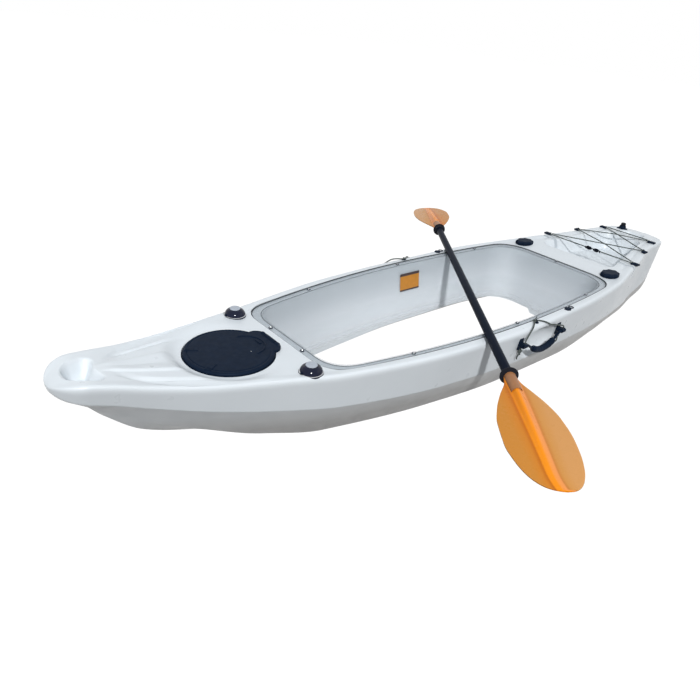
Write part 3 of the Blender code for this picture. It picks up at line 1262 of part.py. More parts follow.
def build_paddle():
    """The two-part shaft, its ferrule, drip rings and blades."""
    frame = paddle_frame()
    along = Matrix.Rotation(math.pi / 2, 4, "Y")
    length = RING_FROM_MIDDLE + SHAFT_PAST_RING - GAP / 2
    bore = SHAFT_RADIUS - SHAFT_WALL
    for end, word in ((1, "port"), (-1, "starboard")):
        turn = frame @ Matrix.Rotation(0.0 if end > 0 else math.pi, 4, "Z")
        shaft = revolve([(bore, length), (SHAFT_RADIUS, length), (SHAFT_RADIUS, 0.0), (bore, 0.0)], 20, ring=True)
        adopt(shaft, f"paddle_shaft_{word}", shaft_coating())
        shaft.matrix_world = turn @ Matrix.Translation((GAP / 2, 0, 0)) @ along
        ring = revolve([(SHAFT_RADIUS + GAP, RING_LENGTH), (0.62 * RING_RADIUS, RING_LENGTH),
                        (0.75 * RING_RADIUS, 0.70 * RING_LENGTH), (RING_RADIUS, 0.62 * RING_LENGTH),
                        (RING_RADIUS, 0.40 * RING_LENGTH), (0.72 * RING_RADIUS, 0.32 * RING_LENGTH),
                        (0.62 * RING_RADIUS, 0.0), (SHAFT_RADIUS + GAP, 0.0)], 20, ring=True)
        adopt(ring, f"drip_ring_{word}", rubber())
        ring.matrix_world = turn @ Matrix.Translation((RING_FROM_MIDDLE - RING_LENGTH / 2, 0, 0)) @ along
        build_blade(frame, end, word)
    radius = bore - GAP
    ferrule = revolve([(radius - 0.002, FERRULE_LENGTH / 2), (radius, FERRULE_LENGTH / 2),
                       (radius, -FERRULE_LENGTH / 2), (radius - 0.002, -FERRULE_LENGTH / 2)], 16, ring=True)
    adopt(ferrule, "paddle_ferrule", steel())
    ferrule.matrix_world = frame @ along
    bpy.context.view_layer.update()


def main():
    clear_scene()
    build_hull()
    build_tub()
    build_seal()
    build_screws()
    build_hatch()
    for side, word in ((1, "port"), (-1, "starboard")):
        build_socket(side, word)
        build_rod_holder(side, word)
        build_pad_eye(side, word)
        build_handle(side, word)
    build_deck_cord()
    build_plug()
    build_paddle()


main()
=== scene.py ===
"""Visual model of a recreational kayak with a clear cockpit tub and its paddle.

Metres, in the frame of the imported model: +X to the bow, +Y to port, +Z up. The origin lies on the
ground below the middle of the cockpit.
"""
import logging
import math
from dataclasses import dataclass
from enum import Enum
from typing import Callable, Iterable, Sequence

import bmesh
import bpy
from mathutils import Matrix, Vector


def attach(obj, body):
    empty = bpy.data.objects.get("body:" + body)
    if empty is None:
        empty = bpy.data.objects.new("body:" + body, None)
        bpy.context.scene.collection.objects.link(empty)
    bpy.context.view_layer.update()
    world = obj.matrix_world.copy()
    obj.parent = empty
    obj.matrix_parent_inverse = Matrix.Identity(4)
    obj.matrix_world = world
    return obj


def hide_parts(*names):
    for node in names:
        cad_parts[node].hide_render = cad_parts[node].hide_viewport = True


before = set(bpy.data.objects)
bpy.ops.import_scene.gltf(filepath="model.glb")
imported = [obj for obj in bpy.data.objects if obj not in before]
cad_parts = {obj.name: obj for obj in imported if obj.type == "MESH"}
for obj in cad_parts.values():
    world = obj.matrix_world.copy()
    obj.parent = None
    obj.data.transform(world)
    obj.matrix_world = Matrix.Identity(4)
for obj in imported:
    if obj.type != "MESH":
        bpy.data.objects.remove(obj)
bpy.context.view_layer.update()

log = logging.getLogger("kayak")
Point = tuple[float, float, float]
Profile = tuple[tuple[float, float], ...]
Shape = bmesh.types.BMesh
Socket = bpy.types.NodeSocket
QUARTER = math.pi / 2
ACROSS = Matrix.Rotation(QUARTER, 4, "X")
ALONG = Matrix.Rotation(QUARTER, 4, "Y")
SAME_PLACE = 0.000005


@dataclass(frozen=True)
class Side:
    """A side of the boat: the sign of its Y and its name."""

    sign: int
    word: str


SIDES = (Side(1, "port"), Side(-1, "starboard"))


class Body(Enum):
    """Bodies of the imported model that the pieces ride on."""

    HULL = "hull"
    LID = "hatch_lid"
    LATCH = "hatch_latch"
    SOCKET_CAP = "socket_cap"
    SOCKET_BUTTON = "socket_button"
    ROD_CAP = "rod_holder_cap"
    HANDLE = "carry_handle"
    PLUG = "drain_plug_knob"
    PADDLE = "paddle"
    PADDLE_PORT = "paddle_port_half"

    def at(self, side: Side) -> str:
        """Name of the body on one side of the boat."""
        return f"{self.value}_{side.word}"


def fade(value: float, start: float, end: float) -> float:
    """Rise smoothly from 0 at start to 1 at end.

    Args:
        value: Where to read the rise.
        start: Where it leaves 0.
        end: Where it reaches 1.

    Returns:
        A share between 0 and 1.
    """
    t = min(1.0, max(0.0, (value - start) / (end - start)))
    return t * t * (3.0 - 2.0 * t)


def window(value: float, start: float, full: float, leave: float, end: float) -> float:
    """Rise from 0 at start to 1 at full, and fall from 1 at leave to 0 at end."""
    return fade(value, start, full) * (1 - fade(value, leave, end))


def smooth_weights(t: float) -> tuple[float, float, float, float]:
    """Weights of the start, its slope, the end and its slope at a share of a smooth step."""
    return 2 * t**3 - 3 * t**2 + 1, t**3 - 2 * t**2 + t, 3 * t**2 - 2 * t**3, t**3 - t**2


def inside_corners(dx: float, dy: float, corner: float) -> float:
    """Distance inside an oblong with rounded corners, negative outside.

    Args:
        dx: Distance outside its ends.
        dy: Distance outside its sides.
        corner: Radius of its corners.

    Returns:
        The distance in metres.
    """
    outside = math.hypot(max(dx + corner, 0.0), max(dy + corner, 0.0)) - corner
    return -(outside if max(dx, dy) > -corner else max(dx, dy))


def place(x: float, y: float, z: float) -> Matrix:
    """The matrix of a place."""
    return Matrix.Translation((x, y, z))


def circle(middle: Vector, first: Sequence[float], second: Sequence[float], steps: int) -> list[Vector]:
    """A round route that ends where it starts.

    Args:
        middle: Its middle.
        first: Half-axis that it starts on.
        second: Half-axis a quarter turn further.
        steps: Steps of the full turn.

    Returns:
        The points of the route.
    """
    turns = (math.tau * k / steps for k in range(steps + 1))
    return [middle + Vector(first) * math.cos(a) + Vector(second) * math.sin(a) for a in turns]


class Curve1D:
    """A curve through knots that never overshoots them."""

    def __init__(self, knots: Sequence[float], values: Sequence[float]) -> None:
        """Fit the curve.

        Args:
            knots: Places in rising order.
            values: The value at each place.
        """
        self.knots = list(knots)
        self.values = list(values)
        gaps = [b - a for a, b in zip(self.knots, self.knots[1:])]
        slopes = [(b - a) / gap for a, b, gap in zip(self.values, self.values[1:], gaps)]
        self.tangents = [slopes[0]] + [0.0] * (len(slopes) - 1) + [slopes[-1]]
        for i in range(1, len(slopes)):
            if slopes[i - 1] * slopes[i] > 0:
                first = 2 * gaps[i] + gaps[i - 1]
                second = gaps[i] + 2 * gaps[i - 1]
                self.tangents[i] = (first + second) / (first / slopes[i - 1] + second / slopes[i])
        self.gaps = gaps

    def __call__(self, x: float) -> float:
        """Value of the curve at a place.

        Args:
            x: The place.

        Returns:
            The value there.
        """
        i = 0
        while i < len(self.gaps) - 1 and x > self.knots[i + 1]:
            i += 1
        gap = self.gaps[i]
        start, start_slope, end, end_slope = smooth_weights((x - self.knots[i]) / gap)
        return (start * self.values[i] + start_slope * gap * self.tangents[i]
                + end * self.values[i + 1] + end_slope * gap * self.tangents[i + 1])


class Finish:
    """A procedural finish, built once as a node material."""

    def __init__(self, name: str, colour: Sequence[float], roughness: float, metallic: float = 0.0,
                 alpha: float = 1.0, coat: float = 0.0, specular: float = 0.5) -> None:
        """Start the finish from its plain values.

        Args:
            name: Name of the material.
            colour: Linear base colour.
            roughness: Roughness of the surface.
            metallic: 1 for bare metal.
            alpha: Share of light that the surface stops.
            coat: Weight of a clear coat.
            specular: Level of the plain reflection.
        """
        self.material = bpy.data.materials.new(name)
        self.material.use_nodes = True
        self.tree = self.material.node_tree
        self.shader = self.tree.nodes["Principled BSDF"]
        self.colour = (*colour, 1.0)
        for word, value in (("Base Color", self.colour), ("Roughness", roughness), ("Metallic", metallic),
                            ("Alpha", alpha), ("Coat Weight", coat), ("Specular IOR Level", specular)):
            self.shader.inputs[word].default_value = value
        self.place = self.add("ShaderNodeTexCoord").outputs["Object"]

    def add(self, kind: str, inputs: dict[str, object] | None = None, **settings: object) -> bpy.types.Node:
        """Add a node and set its inputs and options.

        Args:
            kind: Type of the node.
            inputs: Values of its inputs.
            **settings: Attributes of the node.

        Returns:
            The new node.
        """
        node = self.tree.nodes.new(kind)
        for name, value in (inputs or {}).items():
            node.inputs[name].default_value = value
        for name, value in settings.items():
            setattr(node, name, value)
        return node

    def link(self, source: Socket, target: Socket) -> None:
        """Join two sockets."""
        self.tree.links.new(source, target)

    def feed(self, name: str, source: Socket) -> None:
        """Drive an input of the surface by its name."""
        self.link(source, self.shader.inputs[name])

    def noise(self, scale: float, detail: float = 3.0, stretch: Point = (1.0, 1.0, 1.0),
              roughness: float = 0.5) -> Socket:
        """Noise on Object coordinates.

        Args:
            scale: Waves to the metre.
            detail: Octaves of the noise.
            stretch: Scale along each axis.
            roughness: Weight of the finer octaves.

        Returns:
            The noise's value, between 0 and 1.
        """
        mapping = self.add("ShaderNodeMapping", {"Scale": stretch})
        self.link(self.place, mapping.inputs["Vector"])
        noise = self.add("ShaderNodeTexNoise", {"Scale": scale, "Detail": detail, "Roughness": roughness})
        self.link(mapping.outputs["Vector"], noise.inputs["Vector"])
        return noise.outputs["Fac"]

    def ramp(self, source: Socket, stops: Sequence[tuple[float, Sequence[float]]]) -> Socket:
        """A colour ramp over a value.

        Args:
            source: The value that drives the ramp.
            stops: Place and colour of each stop.

        Returns:
            The ramp's colour.
        """
        node = self.add("ShaderNodeValToRGB")
        ramp = node.color_ramp
        while len(ramp.elements) < len(stops):
            ramp.elements.new(1.0)
        for element, (stop, colour) in zip(ramp.elements, stops):
            element.position = stop
            element.color = (*colour, 1.0)
        self.link(source, node.inputs["Fac"])
        return node.outputs["Color"]

    def height(self, top: float) -> Socket:
        """Height over the ground as a share of a top level.

        Args:
            top: The level in metres.

        Returns:
            The share.
        """
        split = self.add("ShaderNodeSeparateXYZ")
        self.link(self.place, split.inputs["Vector"])
        return self.span(split.outputs["Z"], 0.0, 1.0, 0.0, top)

    def span(self, source: Socket, low: float, high: float, start: float = 0.0,
             end: float = 1.0) -> Socket:
        """Map a value from one range to another.

        Args:
            source: The value.
            low: Result at start.
            high: Result at end.
            start: Start of the value's range.
            end: End of the value's range.

        Returns:
            The mapped value.
        """
        node = self.add("ShaderNodeMapRange",
                        {"From Min": start, "From Max": end, "To Min": low, "To Max": high})
        self.link(source, node.inputs["Value"])
        return node.outputs["Result"]

    def vary(self, source: Socket, share: float) -> None:
        """Vary the base colour a little with a value.

        Args:
            source: A value between 0 and 1.
            share: How far the colour darkens and lightens.
        """
        base = self.colour[:3]
        dark = [c * (1 - share) for c in base]
        light = [min(1.0, c * (1 + share)) for c in base]
        self.feed("Base Color", self.ramp(source, ((0.3, dark), (0.7, light))))

    def rough(self, source: Socket, low: float, high: float) -> None:
        """Drive the roughness between two values."""
        self.feed("Roughness", self.span(source, low, high, 0.3, 0.7))

    def bump(self, source: Socket, depth: float, strength: float = 1.0) -> None:
        """Raise the surface with a value.

        Args:
            source: A value between 0 and 1.
            depth: Height of the relief in metres.
            strength: Weight of the relief.
        """
        node = self.add("ShaderNodeBump", {"Distance": depth, "Strength": strength})
        self.link(source, node.inputs["Height"])
        self.feed("Normal", node.outputs["Normal"])


Noise = tuple[float, ...]


@dataclass(frozen=True)
class Surface:
    """A plain procedural finish: values, and noises for colour, sheen and grain.

    Each noise starts with its scale and detail. The tint ends with its share, the sheen with its two
    roughnesses, and the grain with its depth and strength.
    """

    name: str
    colour: Point
    roughness: float
    metallic: float = 0.0
    coat: float = 0.0
    specular: float = 0.5
    tint: Noise = ()
    sheen: Noise = ()
    grain: Noise = ()
    stretch: Point = (1.0, 1.0, 1.0)

    def made(self) -> Finish:
        """Build the material.

        Returns:
            The finish.
        """
        finish = Finish(self.name, self.colour, self.roughness, self.metallic, 1.0, self.coat, self.specular)
        if self.tint:
            finish.vary(finish.noise(*self.tint[:2]), self.tint[2])
        if self.sheen:
            finish.rough(finish.noise(*self.sheen[:2], self.stretch), *self.sheen[2:])
        if self.grain:
            finish.bump(finish.noise(*self.grain[:2]), *self.grain[2:])
        return finish


MOULDED_HULL = Surface("moulded_hull", (0.72, 0.765, 0.8), 0.34, tint=(7.0, 4.0, 0.016),
                       sheen=(26.0, 5.0, 0.27, 0.42), grain=(330.0, 2.0, 0.0001, 0.25))
MATT_BLACK = Surface("matt_black", (0.0065, 0.0135, 0.029), 0.5, specular=0.04, tint=(40.0, 3.0, 0.12),
                     sheen=(90.0, 3.0, 0.44, 0.56), grain=(1400.0, 1.0, 0.0001, 0.5))
SEAM_BLACK = Surface("seam_black", (0.005, 0.007, 0.012), 0.6, specular=0.04, tint=(40.0, 3.0, 0.12),
                     sheen=(90.0, 3.0, 0.54, 0.66), grain=(1400.0, 1.0, 0.0001, 0.5))
GLOSS_BLACK = Surface("gloss_black", (0.003, 0.006, 0.024), 0.1, coat=0.08, specular=0.2,
                      sheen=(60.0, 3.0, 0.08, 0.18))
GREY_CAP = Surface("grey_cap", (0.4, 0.44, 0.5), 0.45, tint=(150.0, 3.0, 0.06),
                   grain=(1200.0, 1.0, 0.00008, 0.4))
SOFT_RUBBER = Surface("soft_rubber", (0.008, 0.009, 0.014), 0.62, specular=0.15,
                      sheen=(120.0, 4.0, 0.52, 0.74), grain=(900.0, 2.0, 0.00012, 0.5))
STAINLESS = Surface("stainless", (0.6, 0.61, 0.63), 0.22, metallic=1.0, sheen=(700.0, 3.0, 0.16, 0.32),
                    stretch=(1.0, 1.0, 0.1))
PADDLE_SHAFT = Surface("paddle_shaft", (0.003, 0.007, 0.018), 0.42, specular=0.03,
                       sheen=(260.0, 3.0, 0.28, 0.46), grain=(800.0, 2.0, 0.00006, 0.4))
WORN = (60.0, 4.0, 0.07)
BLADE_SLEEVE = Surface("blade_sleeve", (0.34, 0.14, 0.045), 0.4, tint=WORN)
ORANGE_PATCH = Surface("patch_orange", (0.52, 0.21, 0.022), 0.4, tint=WORN)
PATCH_BAND = Surface("patch_band", (0.05, 0.03, 0.03), 0.4, tint=WORN)
WHITE_WEBBING = Surface("white_webbing", (0.74, 0.76, 0.76), 0.4, tint=WORN)


class PaintedShadeBottom(Finish):
    """The same white plastic below the chine, a little rougher, with painted shade that darkens it towards
    the keel.
    """

    def __init__(self) -> None:
        """Build the finish."""
        super().__init__("bottom_painted_shade", (0.6, 0.62, 0.62), 0.42)
        # Painted shade: the base colour goes from the hull's white at the chine down to grey at the keel.
        tone = self.ramp(self.height(0.18), ((0.0, (0.37, 0.362, 0.352)), (0.35, (0.44, 0.438, 0.43)),
                                             (0.68, (0.64, 0.655, 0.66)), (1.0, (0.72, 0.755, 0.78))))
        self.feed("Base Color", tone)
        self.rough(self.noise(26.0, 5.0), 0.34, 0.48)
        self.bump(self.noise(330.0, 2.0), 0.0001, 0.25)


class ClearSheet(Finish):
    """Clear polished plastic: nearly unseen on the floor, denser at the wall's foot where a near-white tone
    is painted light, and greyer further up as painted shade.
    """

    def __init__(self) -> None:
        """Build the finish."""
        super().__init__("clear_sheet", (0.62, 0.68, 0.72), 0.05, alpha=0.2)
        height = self.height(0.275)
        # Cover over height, which lets the painted light low on the wall and the painted shade higher up
        # show.
        cover = self.ramp(height, ((0.07, (0.01,) * 3), (0.13, (0.3,) * 3), (0.5, (0.13,) * 3),
                                   (0.97, (0.19,) * 3), (0.985, (0.25,) * 3)))
        self.feed("Alpha", cover)
        # Painted light and shade: near white low on the wall, turning grey higher up and on the flange.
        tone = self.ramp(height, ((0.07, (0.92, 0.95, 0.98)), (0.3, (0.86, 0.9, 0.94)),
                                  (0.8, (0.46, 0.51, 0.56)), (0.97, (0.44, 0.5, 0.55))))
        self.feed("Base Color", tone)
        self.rough(self.noise(18.0, 3.0), 0.03, 0.09)


class WovenCord(Finish):
    """Elastic cord: a dark braided sheath with olive-grey flecks, patterned along its own length."""

    def __init__(self) -> None:
        """Build the finish."""
        super().__init__("woven_cord", (0.014, 0.019, 0.022), 0.8)
        pattern = self.add("ShaderNodeUVMap", uv_map="along")
        waves = []
        for slope in (1.0, -1.0):
            mapping = self.add("ShaderNodeMapping", {"Rotation": (0.0, 0.0, slope * 0.72)})
            self.link(pattern.outputs["UV"], mapping.inputs["Vector"])
            wave = self.add("ShaderNodeTexWave", {"Scale": 95.0}, wave_type="BANDS", bands_direction="X")
            self.link(mapping.outputs["Vector"], wave.inputs["Vector"])
            waves.append(wave.outputs["Fac"])
        braid = self.add("ShaderNodeMath", operation="MAXIMUM")
        self.link(waves[0], braid.inputs[0])
        self.link(waves[1], braid.inputs[1])
        fleck = self.ramp(self.noise(420.0, 2.0),
                          ((0.46, (0.02, 0.026, 0.03)), (0.6, (0.15, 0.18, 0.16))))
        self.feed("Base Color", fleck)
        self.bump(braid.outputs["Value"], 0.0004, 0.8)


class BladePlastic(Finish):
    """Translucent orange blade, ramped across the blade: a brighter hollow spine with a painted highlight on
    one flank and painted shade lines at its feet, and paler plates.
    """

    def __init__(self) -> None:
        """Build the finish."""
        super().__init__("blade_plate", (0.74, 0.26, 0.03), 0.3, alpha=0.95, specular=0.12)
        across = self.add("ShaderNodeUVMap", uv_map="across")
        split = self.add("ShaderNodeSeparateXYZ")
        self.link(across.outputs["UV"], split.inputs["Vector"])
        # Painted light and shade on the spine: dark lines at its feet, a bright orange flank, and a paler
        # painted highlight on the other flank.
        tone = self.ramp(split.outputs["X"], (
            (0.0, (0.62, 0.25, 0.04)), (0.22, (0.66, 0.23, 0.025)), (0.32, (0.56, 0.15, 0.008)),
            (0.37, (0.95, 0.3, 0.01)), (0.49, (1.0, 0.31, 0.01)), (0.54, (0.93, 0.33, 0.07)),
            (0.64, (0.88, 0.33, 0.1)), (0.68, (0.6, 0.22, 0.045)), (0.76, (0.66, 0.3, 0.075)),
            (1.0, (0.68, 0.33, 0.11))))
        self.feed("Base Color", tone)
        self.rough(self.noise(30.0, 3.0), 0.22, 0.36)


class Finishes:
    """All finishes of the boat and its paddle."""

    def __init__(self) -> None:
        """Build every finish once."""
        self.hull = MOULDED_HULL.made()
        # The bottom finish carries painted shade towards the keel.
        self.bottom = PaintedShadeBottom()
        self.clear = ClearSheet()
        self.black = MATT_BLACK.made()
        self.deep_black = SEAM_BLACK.made()
        self.gloss = GLOSS_BLACK.made()
        self.grey = GREY_CAP.made()
        self.rubber = SOFT_RUBBER.made()
        self.steel = STAINLESS.made()
        self.cord = WovenCord()
        self.shaft = PADDLE_SHAFT.made()
        self.blade = BladePlastic()
        self.sleeve = BLADE_SLEEVE.made()
        self.patch = ORANGE_PATCH.made()
        self.band = PATCH_BAND.made()
        self.webbing = WHITE_WEBBING.made()


class Shaper:
    """Makes finished mesh objects from bmesh shapes."""

    @staticmethod
    def linked(shape: Shape, name: str) -> bpy.types.Object:
        """Put a shape into the scene as an object.

        Args:
            shape: The shape, which is freed.
            name: Name of the object.

        Returns:
            The object.
        """
        data = bpy.data.meshes.new(name)
        shape.to_mesh(data)
        shape.free()
        item = bpy.data.objects.new(name, data)
        bpy.context.scene.collection.objects.link(item)
        return item

    @staticmethod
    def finish(shape: Shape, name: str, finish: Finish, slot: str, node: str = "",
               body: str = Body.HULL.value, smooth: float = 40.0) -> None:
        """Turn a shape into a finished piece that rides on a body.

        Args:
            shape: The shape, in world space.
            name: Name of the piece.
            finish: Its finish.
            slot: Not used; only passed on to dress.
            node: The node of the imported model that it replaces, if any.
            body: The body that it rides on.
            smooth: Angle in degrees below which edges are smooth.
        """
        bmesh.ops.remove_doubles(shape, verts=shape.verts, dist=SAME_PLACE)
        bmesh.ops.recalc_face_normals(shape, faces=shape.faces)
        item = Shaper.linked(shape, name)
        Shaper.dress(item, finish, slot, body, smooth)
        if node:
            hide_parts(node)

    @staticmethod
    def dress(item: bpy.types.Object, finish: Finish, slot: str, body: str = Body.HULL.value,
              smooth: float = 40.0) -> None:
        """Give an object its finish, shading and body.

        Args:
            item: The object.
            finish: Its finish, unless it already has one.
            slot: Not used.
            body: The body that it rides on.
            smooth: Angle in degrees below which edges are smooth.
        """
        if not item.data.materials:
            item.data.materials.append(finish.material)
        item.data.shade_smooth()
        item.data.set_sharp_from_angle(angle=math.radians(smooth))
        weigh = item.modifiers.new("even_shading", "WEIGHTED_NORMAL")
        weigh.keep_sharp = True
        weigh.weight = 90
        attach(item, body)

    @staticmethod
    def turned(profile: Sequence[tuple[float, float]], steps: int = 64, matrix: Matrix = Matrix(),
               ring: bool = False) -> Shape:
        """Spin a profile about +Z.

        Args:
            profile: Radius and height of each point.
            steps: Steps of the full turn.
            matrix: Where the turned shape goes.
            ring: Whether the profile closes on itself.

        Returns:
            The shape.
        """
        shape = bmesh.new()
        line = [shape.verts.new((radius, 0.0, height)) for radius, height in profile]
        edges = [shape.edges.new(pair) for pair in zip(line, line[1:])]
        if ring:
            edges.append(shape.edges.new((line[-1], line[0])))
        bmesh.ops.spin(shape, geom=line + edges, cent=(0, 0, 0), axis=(0, 0, 1), angle=math.tau,
                       steps=steps, use_merge=True, use_duplicate=False)
        bmesh.ops.remove_doubles(shape, verts=shape.verts, dist=SAME_PLACE)
        bmesh.ops.transform(shape, matrix=matrix, verts=shape.verts)
        return shape

    @staticmethod
    def rod(radius: float, top: float, foot: float, steps: int, matrix: Matrix) -> Shape:
        """A plain round bar between two levels."""
        return Shaper.turned([(0, top), (radius, top), (radius, foot), (0, foot)], steps, matrix)

    @staticmethod
    def block(size: Point, matrix: Matrix = Matrix(), bevel: float = 0.0, segments: int = 3
              ) -> Shape:
        """A box with rounded edges.

        Args:
            size: Length along each axis.
            matrix: Where the box goes.
            bevel: Width of its edge rounding.
            segments: Steps of the rounding.

        Returns:
            The shape.
        """
        shape = bmesh.new()
        bmesh.ops.create_cube(shape, size=1.0)
        bmesh.ops.scale(shape, vec=size, verts=shape.verts)
        if bevel:
            bmesh.ops.bevel(shape, geom=shape.verts[:] + shape.edges[:], offset=bevel, segments=segments,
                            profile=0.5, affect="EDGES", material=-1)
        bmesh.ops.transform(shape, matrix=matrix, verts=shape.verts)
        return shape

    @staticmethod
    def merged(shapes: Iterable[Shape]) -> Shape:
        """Put several shapes together into one.

        Args:
            shapes: The shapes, which are freed.

        Returns:
            The joined shape.
        """
        whole = bmesh.new()
        for shape in shapes:
            bmesh.ops.recalc_face_normals(shape, faces=shape.faces)
            data = bpy.data.meshes.new("part")
            shape.to_mesh(data)
            shape.free()
            whole.from_mesh(data)
            bpy.data.meshes.remove(data)
        return whole

    @staticmethod
    def stack(loops: Sequence[Sequence[Point]], closed: bool = False, caps: bool = True
              ) -> Shape:
        """A skin over rings of equal length, made from one grid.

        Args:
            loops: The rings, each a list of points.
            closed: Whether the last ring joins the first.
            caps: Whether the end rings are filled.

        Returns:
            The shape, with the ring and the turn of each corner in its "along" map.
        """
        rings = list(loops) + ([loops[0]] if closed else [])
        rows, columns = len(rings) - 1, len(loops[0])
        shape = bmesh.new()
        shape.loops.layers.uv.new("along")
        bmesh.ops.create_grid(shape, x_segments=rows, y_segments=columns, size=1.0, calc_uvs=True)
        for vert in shape.verts:
            row = round((vert.co.x + 1) / 2 * rows)
            column = round((vert.co.y + 1) / 2 * columns)
            vert.co = rings[row][column % columns]
        bmesh.ops.remove_doubles(shape, verts=shape.verts, dist=0.000002)
        if caps and not closed:
            edges = [edge for edge in shape.edges if edge.is_boundary]
            bmesh.ops.holes_fill(shape, edges=edges, sides=0)
        return shape

    @staticmethod
    def swept(points: Sequence[Vector], radius: float | Callable[[float], float], sides: int = 12
              ) -> Shape:
        """A round bar along a route, with an "along" map for braid patterns.

        Args:
            points: The route.
            radius: Radius, or a function of the share of the length.
            sides: Points round the bar.

        Returns:
            The shape.
        """
        width = radius if callable(radius) else (lambda share: radius)
        lengths = [0.0]
        for a, b in zip(points, points[1:]):
            lengths.append(lengths[-1] + (b - a).length)
        normal = (points[1] - points[0]).orthogonal().normalized()
        rings = []
        for i, point in enumerate(points):
            ahead = (points[min(i + 1, len(points) - 1)] - points[max(i - 1, 0)]).normalized()
            normal = (normal - ahead * normal.dot(ahead)).normalized()
            other = ahead.cross(normal)
            r = width(lengths[i] / lengths[-1])
            rings.append([point + (normal * math.cos(a) + other * math.sin(a)) * r
                          for a in (math.tau * k / sides for k in range(sides))])
        shape = Shaper.stack(rings)
        layer = shape.loops.layers.uv["along"]
        girth = math.tau * width(0.5)
        for face in shape.faces:
            for loop in face.loops:
                row = round(loop[layer].uv.x * (len(points) - 1))
                loop[layer].uv = (lengths[row], loop[layer].uv.y * girth)
        return shape

    @staticmethod
    def ball(radii: Point, middle: Vector, segments: int = 16) -> Shape:
        """An ellipsoid.

        Args:
            radii: Half-size along each axis.
            middle: Its middle.
            segments: Steps round it.

        Returns:
            The shape.
        """
        shape = bmesh.new()
        bmesh.ops.create_uvsphere(shape, u_segments=segments, v_segments=segments // 2 + 2, radius=1.0)
        bmesh.ops.scale(shape, vec=radii, verts=shape.verts)
        bmesh.ops.translate(shape, vec=middle, verts=shape.verts)
        return shape


def eased(points: Sequence[Sequence[float]], steps: int) -> list[Vector]:
    """A smooth route through guide points.

    Args:
        points: The guide points.
        steps: Steps between each pair.

    Returns:
        The points of the route.
    """
    guide = [Vector(point) for point in points]
    line = []
    for i in range(len(guide) - 1):
        before, here = guide[max(i - 1, 0)], guide[i]
        there, after = guide[i + 1], guide[min(i + 2, len(guide) - 1)]
        for k in range(steps):
            start, start_slope, end, end_slope = smooth_weights(k / steps)
            line.append(here * start + (there - before) / 2 * start_slope
                        + there * end + (after - here) / 2 * end_slope)
    line.append(guide[-1])
    return line


